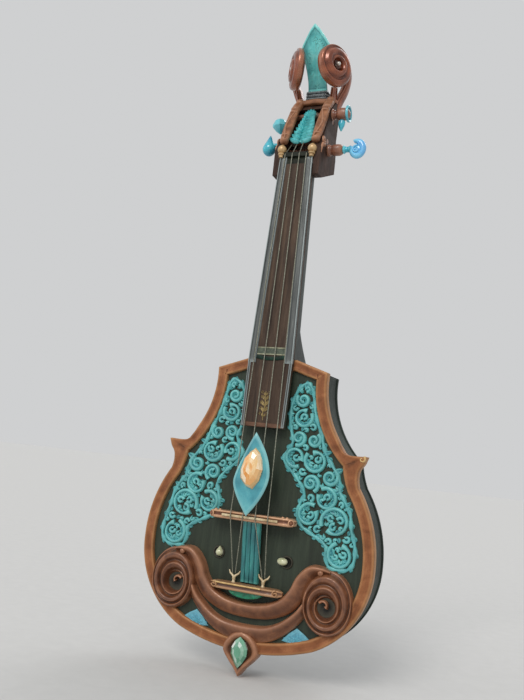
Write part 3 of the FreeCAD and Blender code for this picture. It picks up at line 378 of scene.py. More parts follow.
finish("body_wood", ((28, 36, 31), (40, 50, 44), (58, 70, 61)), 110, (0.15, 1, 0.15), rough=0.6,
    coat=0.05, bump=0.3, soft=1.2, gloss=0.25)
finish("inner_wood", ((120, 92, 62), (150, 118, 82), (172, 140, 100)), 200, ALONG, rough=0.7,
    bump=0.4)
finish("turquoise_carving", TURQUOISE, 55, rough=0.45, coat=0.2, bump=0.3, worn=(126, 204, 196),
    wear_and_highlight_amount=0.55, hollow_shade=(10, 52, 60))
finish("leaf_turquoise", ((26, 138, 148), (54, 184, 192), (104, 216, 220)), 180, rough=0.42,
    coat=0.25, bump=0.3, worn=(132, 220, 216), wear_and_highlight_amount=0.5, hollow_shade=(10, 62, 72))
finish("lance_jade", ((78, 178, 178), (110, 212, 210), (142, 230, 226)), 110, (1, 1, 0.5),
    rough=0.42, coat=0.2, bump=0.6, worn=(150, 218, 212), wear_and_highlight_amount=0.6, hollow_shade=(34, 102, 110))
finish("plaque_enamel", ((52, 128, 142), (74, 158, 170), (112, 186, 188)), 40, rough=0.34, coat=0.4,
    bump=0.1, worn=(160, 214, 212), wear_and_highlight_amount=0.7)
finish("blue_inlay", ((26, 92, 122), (50, 134, 164), (88, 174, 196)), 420, rough=0.45, coat=0.2,
    bump=0.6, worn=(128, 200, 212))
# Cut stones: green and amber stone colour, with facet tones up to near white as painted glints that
# vary with the way each face points.
finish("jewel_glass", ((44, 112, 86), (120, 184, 152), (244, 254, 248)), 150, rough=0.1,
    spread=0.05, coat=1, bump=0.05, clear=0.1, facet_glints=2.4)
finish("crystal_glass", ((228, 150, 66), (244, 208, 150), (255, 250, 232)), 130, rough=0.14,
    spread=0.05, coat=0.8, bump=0.06, clear=0.05, facet_glints=2.2)
finish("pearl", ((150, 156, 118), (196, 196, 158), (226, 226, 200)), 160, rough=0.2, coat=0.6,
    bump=0.06, sheen=0.3)
# Near-black cup finish: dark metal for the pearl cups, and its dark also serves as painted shade in
# the volute eyes and the pearl holes.
finish("cup_metal", ((16, 16, 14), (28, 28, 25), (48, 46, 40)), 300, rough=0.45, metal=0.5,
    bump=0.2, worn=(96, 92, 78))
finish("dark_horn", ((14, 18, 12), (24, 28, 18), (42, 48, 34)), 260, (0.2, 1, 1), rough=0.6,
    bump=0.2, soft=0.5, gloss=0.25)
finish("bridge_wood", ((98, 58, 40), (138, 88, 62), (166, 114, 84)), 150, (0.2, 1, 1), rough=0.42,
    metal=0.15, coat=0.25, bump=0.3, worn=(214, 170, 134), wear_and_highlight_amount=0.8, hollow_shade=(44, 24, 18), gloss=0.25)
finish("bone", ((166, 142, 104), (200, 180, 142), (224, 210, 178)), 220, ALONG, rough=0.38,
    coat=0.2, bump=0.15)
finish("teal_ribbing", ((14, 66, 76), (38, 118, 120), (62, 156, 148)), 200, ALONG, rough=0.35,
    coat=0.35, bump=0.15, worn=(112, 190, 178), hollow_shade=(4, 30, 40))
finish("bar_wood", ((92, 56, 40), (130, 86, 60), (158, 114, 82)), 150, (0.2, 1, 1), rough=0.42,
    coat=0.2, bump=0.3, worn=(196, 154, 112), wear_and_highlight_amount=0.7, hollow_shade=(42, 24, 18))
finish("bar_gold", ((150, 108, 54), (196, 152, 86), (224, 188, 124)), 260, rough=0.36, metal=0.5,
    bump=0.2, worn=(240, 214, 160))
finish("green_enamel", ((0, 74, 54), (0, 116, 82), (24, 150, 110)), 120, rough=0.3, coat=0.4,
    bump=0.1, worn=(56, 156, 122))
finish("green_shadow", ((6, 26, 20), (10, 40, 30), (24, 62, 46)), 160, rough=0.5, bump=0.2,
    gloss=0.25)
finish("fingerboard_wood", ((50, 38, 30), (70, 54, 43), (92, 73, 58)), 190, ALONG, rough=0.6,
    bump=0.4, gloss=0.25)
finish("lip_wood", ((74, 50, 38), (104, 74, 56), (128, 96, 74)), 190, (0.2, 1, 1), rough=0.5,
    bump=0.3, gloss=0.25)
finish("neck_wood", ((32, 38, 36), (46, 54, 50), (64, 73, 68)), 150, ALONG, rough=0.5, coat=0.15,
    bump=0.3, gloss=0.25)
finish("grey_rail", ((64, 68, 68), (90, 94, 93), (116, 121, 118)), 240, ALONG, rough=0.45,
    metal=0.2, bump=0.2, worn=(158, 168, 168), wear_and_highlight_amount=0.8, hollow_shade=(34, 38, 42))
finish("band_metal", ((96, 96, 76), (136, 136, 112), (170, 170, 146)), 300, rough=0.4, metal=0.4,
    bump=0.15)
finish("band_dull", ((50, 58, 48), (70, 80, 66), (94, 104, 86)), 300, rough=0.5, metal=0.2,
    bump=0.15)
finish("gold_inlay", ((84, 68, 36), (120, 100, 58), (150, 128, 80)), 300, rough=0.45, metal=0.4,
    bump=0.2, worn=(176, 156, 104))
finish("knob_gold", ((128, 92, 48), (172, 134, 84), (204, 168, 116)), 200, rough=0.34, metal=0.25,
    coat=0.2, bump=0.2, worn=(226, 196, 148))
finish("collar_metal", ((34, 40, 42), (70, 78, 82), (134, 144, 148)), 240, rough=0.36, metal=0.5,
    bump=0.15, worn=(184, 194, 196), hollow_shade=(14, 16, 16))
finish("pin_pale", ((150, 140, 130), (206, 200, 190), (244, 240, 234)), 240, rough=0.25, metal=0.3,
    coat=0.5, bump=0.1)
finish("peg_wood", ((92, 52, 38), (128, 78, 58), (156, 104, 80)), 160, (0.3, 1, 1), rough=0.38,
    coat=0.3, bump=0.25, worn=(192, 140, 112))
finish("peg_glass", ((6, 100, 138), (18, 148, 180), (64, 194, 210)), 70, rough=0.2, spread=0.06,
    coat=0.6, bump=0.06, worn=(130, 224, 226))
finish("shell_blue", ((14, 96, 190), (36, 142, 222), (112, 202, 238)), 90, rough=0.24, spread=0.06,
    coat=0.5, bump=0.08, worn=(150, 222, 244))
finish("string_gut", ((100, 100, 88), (132, 132, 117), (168, 168, 150)), 900, rough=0.4, metal=0.3,
    bump=0.3)


# ------------------------------------------------------------------ making pieces

def piece(name, surfaces, look, replaced=(), body="root", sharp=38):
    """One visible piece from several closed surfaces, riding on a body and finished in its look;
    the CAD parts it replaces are hidden."""
    corners, faces = [], []
    for own_corners, own_faces in surfaces:
        start = len(corners)
        corners += [(x * MM, y * MM, z * MM) for x, y, z in own_corners]
        faces += [tuple(start + index for index in face) for face in own_faces]
    mesh = bpy.data.meshes.new(name)
    mesh.from_pydata(corners, [], faces)
    shell = bmesh.new()
    shell.from_mesh(mesh)
    bmesh.ops.recalc_face_normals(shell, faces=shell.faces)
    shell.to_mesh(mesh)
    shell.free()
    mesh.polygons.foreach_set("use_smooth", [True] * len(mesh.polygons))
    mesh.set_sharp_from_angle(angle=radians(sharp))
    mesh.materials.append(FINISHES[look])
    obj = bpy.data.objects.new(name, mesh)
    scene.collection.objects.link(obj)
    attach(obj, body)
    if replaced:
        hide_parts(*replaced)


# CAD nodes that stay visible, and their finishes.
KEPT = {"soundboard_wood": ["soundboard"], "body_wood": ["ribs", "back_plate"],
    "dark_horn": ["nut"], "inner_wood": ["linings", "neck_block", "tail_block", "top_braces",
    "back_braces"], "fingerboard_wood": ["fingerboard"], "pegbox_wood": ["pegbox"],
    "string_gut": ["string_1", "string_2", "string_3", "string_4"]}
for look, names in KEPT.items():
    for name in names:
        for slot in parts[name].material_slots:
            slot.material = FINISHES[look]


# ------------------------------------------------------------------ body

JOINT, SHOULDER, WAIST, CUSP = (27, -205.5), (61.5, -217), (69.5, -267), (96, -303)
NOTCH, FLANK, CORNER, BOUT = (98.6, -316), (103, -328), (119.8, -364), (125, -402)
BASE, BASE_END, BOTTOM = (112, -450.5), (72, -486.5), (0, -499.5)
RIM_WIDTH = 11.5
BOARD_TOP = 4


def half_outline():
    """Right half of the plan from the neck joint down, and where the horn starts and ends."""
    run = [(JOINT[0] + (SHOULDER[0] - JOINT[0]) * k / 6,
        JOINT[1] + (SHOULDER[1] - JOINT[1]) * k / 6) for k in range(6)]
    run += arc(SHOULDER, WAIST, CUSP, 32)
    horn_start = len(run) - 10
    run += arc(CUSP, NOTCH, FLANK, 10)
    horn_end = len(run)
    run += arc(FLANK, CORNER, BOUT, 18) + arc(BOUT, BASE, BASE_END, 26)
    run += [p for p in arc(BASE_END, BOTTOM, (-BASE_END[0], BASE_END[1]), 36) if p[0] > 0.01]
    return run, horn_start, horn_end


def inset(ring, distance):
    """Closed ring of points moved inwards by a distance, mitred at corners."""
    moved = []
    count = len(ring)
    for i, (x, z) in enumerate(ring):
        px, pz = ring[i - 1]
        nx, nz = ring[(i + 1) % count]
        first, second = Vector((x - px, z - pz)).normalized(), Vector((nx - x, nz - z)).normalized()
        normal = Vector((first.y + second.y, -first.x - second.x)).normalized()
        mitre = max(normal.dot(Vector((first.y, -first.x))), 0.5)
        moved.append((x + normal.x * distance / mitre, z + normal.y * distance / mitre))
    return moved


def make_rim():
    """Raised frame, its crown hollowed, with horns at the waists and a curl on the right one."""
    run, start, end = half_outline()
    horn = smooth([run[start], (86, -295.2), (96.5, -297.6), (109.4, -296.9)], 4)[:-1]
    horn += smooth([(109.6, -297.4), (107, -304.5), (102.6, -311), (101.4, -319), FLANK], 3)[:-1]
    count = end - start
    picks = [horn[round(k * (len(horn) - 1) / (count - 1))] for k in range(count)]
    outer_run = run[:start] + picks + run[end:]
    outer = whole(outer_run + [BOTTOM])
    inner = inset(whole(run + [BOTTOM]), RIM_WIDTH)
    profile = [(0, 9), (0, 2.4), (0.02, 1.2), (0.07, 0.35), (0.15, 0.02), (0.28, 0.25), (0.5, 0.6),
        (0.72, 0.25), (0.86, 0.02), (0.93, 0.35), (0.98, 1.2), (1, 2.4), (1, BOARD_TOP),
        (0.17, BOARD_TOP), (0.17, 9)]
    rows = [[(ox + (ix - ox) * share, depth, oz + (iz - oz) * share) for share, depth in profile]
        for (ox, oz), (ix, iz) in zip(outer, inner)]
    piece("rim", [skin(rows, loop=True)], "carved_rim", ["rim_frame"], sharp=50)
    cap = ribbon(curl((104.6, -300.2), 3.4, 60, -0.9, 1.1, 1.6), ROUND, board(0.9))
    piece("horn_tip_curl", [cap], "bar_gold")


# ------------------------------------------------------------------ filigree

FILIGREE_EDGE = [(41, -229), (46, -234), (49, -244), (51.5, -256), (55.5, -269), (61, -281),
    (65, -294), (71, -305), (79, -315), (84, -325), (85, -334), (91, -343), (97, -354), (99, -366),
    (102, -376), (105, -388), (104, -400), (98, -406.5), (89, -407.5), (80, -406), (76, -396),
    (76, -388), (69, -382), (58, -376.5), (47.5, -370), (43, -360), (45, -349), (48, -340),
    (43, -330), (36, -322), (28, -315), (23, -306), (27, -297), (31, -289), (28.5, -280),
    (26, -270), (25.6, -258), (27, -246), (33, -234)]
# Large scrolls that shape the lobes: centre, radius, start in degrees, turns (negative: back).
# Under one turn it is an open loop, and smaller curls fill it.
FILIGREE_SCROLLS = [((38, -246), 7.6, 150, 1.4), ((40, -264), 9.6, 30, -0.9),
    ((37, -285), 7.8, 250, 1.4), ((53.5, -286), 7.4, 60, -1.4), ((35, -304.5), 9.8, 300, -0.9),
    ((57, -306.5), 11.4, 140, 0.92), ((73.5, -321), 8.4, 20, -1.4), ((54, -328.5), 9, 300, 1.5),
    ((71.5, -342), 10.8, 120, -0.9), ((55, -359), 10.8, 60, 0.92),
    ((82.5, -363.5), 14.4, 200, -0.92), ((90.5, -394), 12.4, 110, 0.92)]
# Pointed leaves on the outside: x, z, heading in degrees, length, half width, bend.
FILIGREE_LEAVES = [(40, -236, 92, 10, 3, 0), (36, -239, 125, 9, 2.4, 25),
    (44, -239, 58, 9, 2.4, -25), (33, -244, 160, 6.5, 2.1, -30), (45, -250, 15, 6, 2, 30),
    (64, -300, 35, 10, 2.6, -20), (76, -318, 40, 12, 3.4, -20), (80, -336, 40, 9, 2.8, -25),
    (28, -305, 190, 7, 2.6, 40), (42, -356, 185, 5, 2.2, 40), (44, -332, 190, 6, 2.2, -40),
    (92, -348, 60, 7, 2.4, -30)]


def in_outline(x, z, outline):
    """Whether a point lies inside a closed outline."""
    inside = False
    for (ax, az), (bx, bz) in zip(outline, outline[1:] + outline[:1]):
        if (az > z) != (bz > z) and x < ax + (bx - ax) * (z - az) / (bz - az):
            inside = not inside
    return inside


def pack_curls(outline, scrolls, largest, smallest):
    """Circles that fill an outline between the given scrolls, biggest first: (x, z, radius)."""
    room = {}
    bottom = min(z for _, z in outline)
    top = max(z for _, z in outline)
    for row in range(int(top - bottom) + 1):
        z = bottom + row
        for x in range(22, 110):
            if in_outline(x, z, outline):
                edge = min(hypot(x - u, z - v) for u, v in outline) - 1
                for (u, v), radius, _, turns in scrolls:
                    beyond = hypot(x - u, z - v) - radius
                    inner = -0.8 * beyond - 2.2
                    gap = max(beyond - 0.6, inner) if abs(turns) < 1 else beyond - 0.6
                    edge = min(edge, gap)
                room[x, z] = edge
    placed = []
    while True:
        (x, z), radius = max(room.items(), key=lambda entry: (min(entry[1], largest), entry[0]))
        radius = min(radius, largest)
        if radius < smallest:
            return placed
        placed.append((x, z, radius + 0.5))
        for u, v in room:
            room[u, v] = min(room[u, v], hypot(u - x, v - z) - radius - 0.2)


def make_filigree():
    """Pierced scrollwork: leafy edge, large scrolls, curls and leaves packed between them."""
    place = board(BOARD_TOP)
    outline = smooth(FILIGREE_EDGE, 5, closed=True)
    curls = pack_curls(outline, FILIGREE_SCROLLS, 4.6, 1.3)
    for side, label in ((-1, "left"), (1, "right")):
        rng = random.Random(11)
        shapes = [ribbon([(side * x, z, 2 + 0.6 * sin(1.1 * i), 2.5 + 0.5 * sin(0.5 * i))
            for i, (x, z) in enumerate(outline)], ROUND, place, loop=True)]
        for (u, v), radius, start, turns in FILIGREE_SCROLLS:
            path = curl((u, v), radius, start, turns, 2.3, 3.7, 0.74 if abs(turns) < 1 else 0.24)
            shapes.append(ribbon([(side * x, z, w, h) for x, z, w, h in path], ROUND, place))
            for k in range(2, len(path) - 7, 2):
                (x, z), (nx, nz) = path[k][:2], path[k + 1][:2]
                lean = copysign(62 if k % 4 else -58, turns)
                heading = degrees(atan2(nz - z, nx - x)) + lean
                size = radius * (1 - 0.6 * k / len(path))
                shapes.append(side_petal(place, side, (x, z), heading, 0.55 * size + 1.6,
                    0.2 * size + 0.7, 3, -lean))
        for x, z, radius in curls:
            start, way = rng.uniform(0, 360), rng.choice((-1, 1))
            if radius > 2.2:
                path = curl((x, z), radius - 1.3, start, way * (0.66 + 0.05 * radius), 1.9, 2.8,
                    0.36)
                shapes.append(ribbon([(side * u, v, w, h) for u, v, w, h in path], ROUND, place))
            else:
                turned = start if side > 0 else 180 - start
                a = radians(turned)
                shapes.append(petal(place, (side * x - 1.9 * cos(a), z - 1.9 * sin(a)), turned, 4.8,
                    2.3, 2.6, way * 50))
        for i in range(4, len(outline), 6):
            x, z = outline[i]
            nx, nz = outline[(i + 1) % len(outline)]
            heading = degrees(atan2(nz - z, nx - x)) + 62
            shapes.append(side_petal(place, side, (x, z), heading, 4.8, 2, 2.6, -50))
        shapes += [side_petal(place, side, (x, z), heading, length, half, 3.2, bend)
            for x, z, heading, length, half, bend in FILIGREE_LEAVES]
        piece(f"filigree_{label}_scrollwork", shapes, "turquoise_carving", [f"filigree_{label}"],
            sharp=55)


# ------------------------------------------------------------------ carving at the bottom

def spiral_relief(place, outer, eye, profile, depth, turns, steps=64):
    """Carved spiral: rings from an outer oval in to an eye, with a groove winding through them."""
    (ou, ov, half_u, half_v), (eu, ev, eye_radius) = outer, eye
    rows = []
    for step in range(steps + 1):
        s = step / steps
        cu, cv = ou + (eu - ou) * s, ov + (ev - ov) * s
        wide, tall = half_u + (eye_radius - half_u) * s, half_v + (eye_radius - half_v) * s
        crown = sample(profile, s)
        ring = []
        for k in range(96):
            a = pi * k / 48
            groove = (0.5 - 0.5 * cos(2 * pi * turns * s + a)) ** 2.2
            fade = min(s * 9, 1) * min((1 - s) * 7, 1)
            ring.append(place(cu + wide * cos(a), cv + tall * sin(a),
                crown - depth * groove * fade))
        rows.append(ring)
    return rows


def sample(profile, share):
    """Straight-line reading of (share, value) points."""
    for (a, low), (b, high) in zip(profile, profile[1:]):
        if share <= b:
            return low + (high - low) * (share - a) / (b - a)
    return profile[-1][1]


VOLUTE = (83, -439.5, 25.5, 31)
VOLUTE_EYE = (81.5, -444, 8.8)


def make_volutes():
    """Oval scroll bosses whose ridge winds in to a deep eye, with a near-black lining in each eye
    as painted shade.
    """
    profile = [(0, 0), (0.03, 5), (0.1, 8.6), (0.24, 11), (0.42, 11.8), (0.62, 11), (0.8, 9),
        (0.92, 5.6), (1, 0.3)]
    eyes = []
    for side, label in ((-1, "left"), (1, "right")):
        def place(u, v, h, side=side):
            return (side * u, BOARD_TOP - h, v)
        rows = spiral_relief(place, VOLUTE, VOLUTE_EYE, profile, 3.6, 2.5)
        bead = ball((side * 75, -4.6, -412), 2.8, 0.8, (0, 1, 0))
        tip = ribbon(curl((79.6, -442.4), 5.2, 150, -0.5, 1.7, 5.4, 0.5), ROUND, place)
        # Near-black dish behind each eye: painted shade at the bottom of the deep eye.
        hollow = [(0.1, 10), (0.9, 9.8), (0.7, 5), (0.4, 2), (0.35, 0.2)]
        eyes.append(lathe(hollow, (side * VOLUTE_EYE[0], BOARD_TOP, VOLUTE_EYE[1]), (0, -1, 0), 40))
        piece(f"volute_{label}_carving", [skin(rows), bead, tip], "carved_scrollwork",
            [f"volute_{label}"], sharp=70)
    piece("volute_eye_shade_linings", eyes, "cup_metal")


def make_swags():
    """Two bands that flow out of the volutes and hang below the string bar."""
    upper = [(0, -459.2, 7.6, 10.4), (14, -458.4, 7.7, 10.4), (28, -455.2, 8, 10.6),
        (42, -447.6, 8.4, 11), (51.5, -436, 8.2, 11.4), (57.5, -422.5, 7.8, 11.8),
        (65.5, -412.6, 6.4, 12), (75.5, -410.2, 4, 11), (84, -411.2, 2, 8)]
    lower = [(0, -481.4, 8.6, 8), (14, -480.6, 8.4, 8), (26, -477.8, 7.6, 8.4),
        (38, -471.6, 6.6, 8.8), (48, -463.6, 5.8, 9.2), (56, -455, 5, 9.6), (61, -446, 3.6, 9.6),
        (64, -438, 1.8, 8)]
    place = board(BOARD_TOP)
    section = [(1, 0), (0.97, 0.5), (0.88, 0.8), (0.7, 0.96), (0.5, 1), (0.25, 0.97), (0, 0.88),
        (-0.25, 0.76), (-0.5, 0.64), (-0.75, 0.52), (-0.92, 0.36), (-1, 0)]
    for name, stations in (("upper_swag", upper), ("lower_swag", lower)):
        path = smooth(mirrored(stations)[::-1] + stations[1:], 8)
        piece(name + "_carving", [ribbon(path, section, place)], "carved_scrollwork", [name],
            sharp=60)


def make_inlays():
    """Blue fan-shaped inlays under the volutes."""
    place = board(BOARD_TOP - 0.2)
    shapes = []
    for side in (-1, 1):
        shapes += [side_petal(place, side, (54.5, -481.5), 168 - k * 26,
            13.5 if k in (0, 6) else 11, 3, 2.4) for k in range(7)]
        rim = [(40, -481.5), (47, -473.5), (54.5, -467.8), (62, -472), (69.5, -477.5), (62, -481.8),
            (54.5, -483.8)]
        fan = [(side * x, z) for x, z in rim]
        shapes.append(dome(fan, (side * 54.5, -477), [(1, 0), (1, 1), (0.9, 1.5), (0.1, 1.6)],
            place))
    piece("corner_inlay_fans", shapes, "blue_inlay", ["corner_inlays"])


def make_bottom_jewel():
    """Teardrop stone in a pointed setting with a raised edge."""
    place = board(4.5)
    right = [(9, -482), (16.5, -490), (18.6, -499), (12.5, -507.5), (5.5, -514.5)]
    shield = whole(smooth([(0, -479)] + right, 3) + [(0, -522)])
    levels = [(1, -4.5), (1, 6), (0.97, 7.6), (0.9, 8.9), (0.8, 9), (0.7, 8.2), (0.64, 6.6),
        (0.6, 6), (0.05, 6)]
    setting = [dome(shield, (0, -499), levels, place)]
    piece("jewel_setting_carving", setting, "carved_scrollwork", ["jewel_setting"], sharp=45)
    girdle = whole([(0, -485), (4.6, -489), (7.8, -495), (7.6, -501.5), (4.2, -507.5), (0, -512.5)])
    crown = [(1, 5.5), (1.08, 9.6), (0.78, 12), (0.46, 13.8), (0.05, 13.9)]
    piece("bottom_jewel_stone", [dome(girdle, (0, -498), crown, place)], "jewel_glass",
        ["bottom_jewel"], sharp=8)


def make_pearls():
    """Pearls in shallow near-black cups, whose dark is partly painted shade of the hole beside each
    pearl: a pointed one on the left, a flat long one on the right.
    """
    profile = [(0, 6.4), (0.9, 6.4), (1.6, 5.9), (1.7, 5.2), (1.2, 4.7), (0.7, 3), (0.65, 0.2)]
    cups = [lathe(profile, (x, BOARD_TOP + 0.2, -408), (0, -1, 0), 36) for x in (-37.2, 37.2)]
    pear = [(-3.9, 0.2), (-3.3, 2), (-1.8, 3.4), (0.2, 3.9), (2, 3.3), (3.6, 2.2), (5.2, 1.1),
        (6.2, 0.2)]
    pearls = [lathe(smooth(pear, 3), (-35.8, 1.4, -408), (0, 0, 1), 28)]
    long_pearl = [(-5.4, 0.2), (-4.6, 2), (-2.6, 3.2), (0, 3.6), (2.6, 3.2), (4.6, 2), (5.4, 0.2)]
    pearls.append(lathe(smooth(long_pearl, 3), (33.2, 1.2, -407.6), (1, 0, -0.05), 28))
    piece("pearl_cup_rings", cups, "cup_metal", ["pearl_cups"])
    piece("pearl_studs", pearls, "pearl", ["pearls"])


# ------------------------------------------------------------------ plaque and bridge

def make_plaque():
    """Almond plaque with a bevelled edge and a keel, on its post, and a cut crystal on it."""
    place = board(-20)
    right = smooth([(0, -284), (7, -294), (13.4, -305), (17.8, -318), (18.4, -330), (14, -344),
        (6.4, -357), (-1.8, -367.5)], 5)
    left = smooth([(-1.8, -367.5), (-9.4, -357), (-16.4, -345), (-19.4, -334), (-15.8, -320),
        (-10.6, -307), (-5.6, -295), (0, -284)], 5)
    almond = right[:-1] + left[:-1]
    levels = [(0.92, 0), (0.98, 0.5), (1, 1.4), (0.99, 2), (0.94, 2.7), (0.86, 3.1), (0.84, 3),
        (0.7, 3.3), (0.4, 3.9), (0.03, 4.2)]
    post = lathe([(0, 2.3), (20, 2.3), (21.5, 3.2), (24, 3.6)], (0, -20.2, -331), (0, 1, 0), 24)
    piece("plaque_enamel_plate", [dome(almond, (0, -328), levels, place), post], "plaque_enamel",
        ["plaque"], sharp=42)
    girdle = [(1, -299.6), (6, -304.6), (9.2, -311), (11.8, -320), (8.4, -331), (2, -339.8),
        (-4.6, -337.4), (-10.6, -331), (-12, -322), (-7.8, -309), (-3.4, -303.4)]
    crown = [(1, 3.4), (1, 5.6), (0.84, 8.6), (0.56, 10.8), (0.3, 11.8), (0.04, 11.3)]
    rng = random.Random(5)
    rows = [[place(0.6 + (u + rng.uniform(-0.6, 0.6)) * share,
        -320.5 + (v + 320 + rng.uniform(-0.8, 0.8)) * share, high) for u, v in girdle]
        for share, high in crown]
    piece("crystal_stone", [skin(rows)], "crystal_glass", ["crystal"], sharp=8)


def cross_bar(half, level, front, back, thick, stations):
    """Moulded bar across the soundboard: front and back give the depth at each distance out."""
    moulding = [(1.4, 0.5), (0.5, 0.47), (0, 0.36), (0.35, 0.26), (1.1, 0.2), (1.3, 0.04),
        (1.1, -0.08), (0.4, -0.15), (0.2, -0.3), (0.8, -0.44), (2.2, -0.5)]
    rear = [(-1, -0.5), (0, -0.4), (0, 0.4), (-1, 0.5)]
    rows = []
    for k in range(stations + 1):
        x = half * (2 * k / stations - 1)
        out = abs(x)
        near, far = sample(front, out), sample(back, out)
        tall = thick * (1 if out < half - 4 else 1 - 0.35 * (out - half + 4) / 4)
        row = [(x, min(near + dy, far - 0.5), level + tall * v) for dy, v in moulding]
        rows.append(row + [(x, far + dy, level + tall * v) for dy, v in rear])
    return skin(rows)


def make_bridge():
    """Moulded bridge with small studs on top, a pale notched saddle and a rosette at each end."""
    front = [(0, -15.4), (36, -15.2), (40, -14.2), (44, -11), (46, -8)]
    back = [(0, -3), (20, -3), (24, 0.5), (27, 4), (40, 4), (43, 0.5), (46, -3.4)]
    shapes = [cross_bar(46, -369, front, back, 8, 92)]
    shapes += [ball((x, -12.6, -364.9), 1.5, 0.9) for x in (-38.5, 38.5, -34, 34)]
    rosette = [(0, 3.2), (0.8, 3.2), (1.2, 2.6), (0.8, 2), (1, 1.2), (1.5, 0.2)]
    shapes += [lathe(rosette, (side * 42.6, -12, -369), (side * 0.55, -0.84, 0), 24)
        for side in (-1, 1)]
    piece("bridge_board", shapes, "bridge_wood", ["bridge"], sharp=45)
    rows = []
    for k in range(121):
        x = -30 + 0.5 * k
        notched = min(abs(abs(x) - 6.7), abs(abs(x) - 20.1)) < 0.8
        top = -16.45 if notched else -17
        rows.append([(x, -15, -370.2), (x, top + 0.5, -370.2), (x, top, -369.6), (x, top, -368.4),
            (x, top + 0.5, -367.8), (x, -15, -367.8)])
    piece("bridge_saddle_strip", [skin(rows)], "bone", ["bridge_saddle"])


def make_tailpiece():
    """Fluted strip from under the bridge down to the string bar."""
    half = 9.6
    rows = []
    for k in range(33):
        t = k / 32
        level = -373 - 60 * t
        front = -9 + 9 * t ** 1.15
        flutes = []
        for c in range(61):
            x = half * (c / 30 - 1)
            ridge = 1.3 * abs(sin(pi * 2 * (x / half + 1))) ** 0.6
            edge = 0.8 if abs(x) > half - 0.5 else 0
            flutes.append((x, front - ridge + 1 + edge, level))
        rows.append(flutes + [(half, front + 4, level), (-half, front + 4, level)])
    piece("tailpiece_flutes", [skin(rows)], "teal_ribbing", ["tailpiece"], sharp=60)


def make_string_bar():
    """Curved bar with a gold bead, a green half-round below it and forked hooks on top."""
    front = [(0, -12), (24, -11.6), (30, -10.8), (35, -8.8), (38.5, -6)]
    back = [(0, 4), (30.5, 4), (35, 1), (38.5, -2)]
    shapes = [cross_bar(38.5, -438, front, back, 7, 76)]
    shapes += [ribbon(curl((side * 33, -438), 3.4, 90, side * 1.2, 0.9, 2.2), ROUND, board(-9.2))
        for side in (-1, 1)]
    piece("string_bar_moulding", shapes, "bar_wood", ["string_bar"], sharp=45)
    edge = [(x, sample(front, abs(x)) - 0.1, -435.3, 0.9, 0.9) for x in range(-34, 20, 2)]
    piece("string_bar_edge", [rail(edge, rounded(2, 12), (0, 1, 0))], "bar_gold")
    disc = [(18 * cos(pi * k / 24), -441.4 + 6.4 * sin(pi * k / 24)) for k in range(24, 49)]
    levels = [(1, 0.2), (1, 10), (0.96, 11.3), (0.86, 12), (0.8, 11.5), (0.1, 11.4)]
    piece("tail_base_disc", [dome(disc, (0, -443.5), levels, board(BOARD_TOP))], "green_enamel",
        ["tail_base"])
    hooks = []
    for side in (-1, 1):
        x = side * 16
        hooks.append(lathe([(0, 2.2), (1.2, 1.5), (4, 1.3), (5.2, 1.9), (6.4, 1.2)],
            (x, -0.6, -434.6), (0, 0, 1), 16))
        for turn in (-1, 1):
            path = smooth([(x, -0.6, -430, 1.3, 1.3), (x + turn * 2, -0.4, -427.6, 1.1, 1.1),
                (x + turn * 4.4, -0.2, -426, 0.9, 0.9), (x + turn * 6, 0.2, -423, 0.5, 0.5)], 5)
            hooks.append(rail(path, rounded(2, 10), (0, 1, 0)))
        for turn in range(3):
            hooks.append(ball((x, -0.6, -431.6 + 1.2 * turn), 1.9, 0.35))
    piece("string_hook_forks", hooks, "bone", ["string_hooks"])


# ------------------------------------------------------------------ neck

def face_depth(level):
    """Depth of the fingerboard's face: the neck leans back from the body."""
    return 4.3 + 0.05 * level


# Half widths at the nut, at the body joint and at the fingerboard's end, and levels down the neck.
NUT_HALF, JOINT_HALF, END_HALF = 19.5, 24.6, 23.6
HEEL_TOP, JOINT_LEVEL, BOARD_END = -174, -205.5, -278


def neck_half(level):
    """Half width of the neck, and of the fingerboard on it."""
    return NUT_HALF + (JOINT_HALF - NUT_HALF) * level / JOINT_LEVEL


def board_half(level):
    """Half width of the fingerboard where it runs over the body."""
    share = (level - JOINT_LEVEL) / (BOARD_END - JOINT_LEVEL)
    return JOINT_HALF + (END_HALF - JOINT_HALF) * share


def make_neck():
    """Round-backed neck that swells into a heel against the body."""
    levels = [-3 * k for k in range(59)] + [HEEL_TOP - 2.1 * k for k in range(1, 15)] + [-205.3]
    rows = []
    for level in levels:
        depth, flat_share, power = 14 + 5 * level / HEEL_TOP, 0.45, 1
        if level < HEEL_TOP:
            share = (HEEL_TOP - level) / (HEEL_TOP - JOINT_LEVEL)
            depth = 19 + 24 * share
            flat_share, power = 0.45 + 0.4 * share, 1 - 0.5 * share
        half, front = neck_half(level), face_depth(level) + 5
        square = min(depth * flat_share, depth - 6)
        ring = [(-half, front, level), (half, front, level)]
        for k in range(25):
            a = pi * k / 24
            across = copysign(abs(cos(a)) ** power, cos(a))
            ring.append((half * across, front + square + (depth - square) * sin(a) ** power, level))
        rows.append(ring)
    piece("neck_shaft", [skin(rows)], "neck_wood", ["neck"], sharp=50)


def slab(levels, inner, outer, section):
    """Moulding that follows the neck's lean between an inner and an outer edge."""
    rows = []
    for level in levels:
        a, b, front = inner(level), outer(level), face_depth(level)
        rows.append([(a + (b - a) * share, front + dy, level) for share, dy in section])
    return skin(rows)


def cross_slab(levels, half, left):
    """Moulding straight across the fingerboard, from the left half of its section."""
    return slab(levels, lambda z: -half, lambda z: half, both_ways(left))


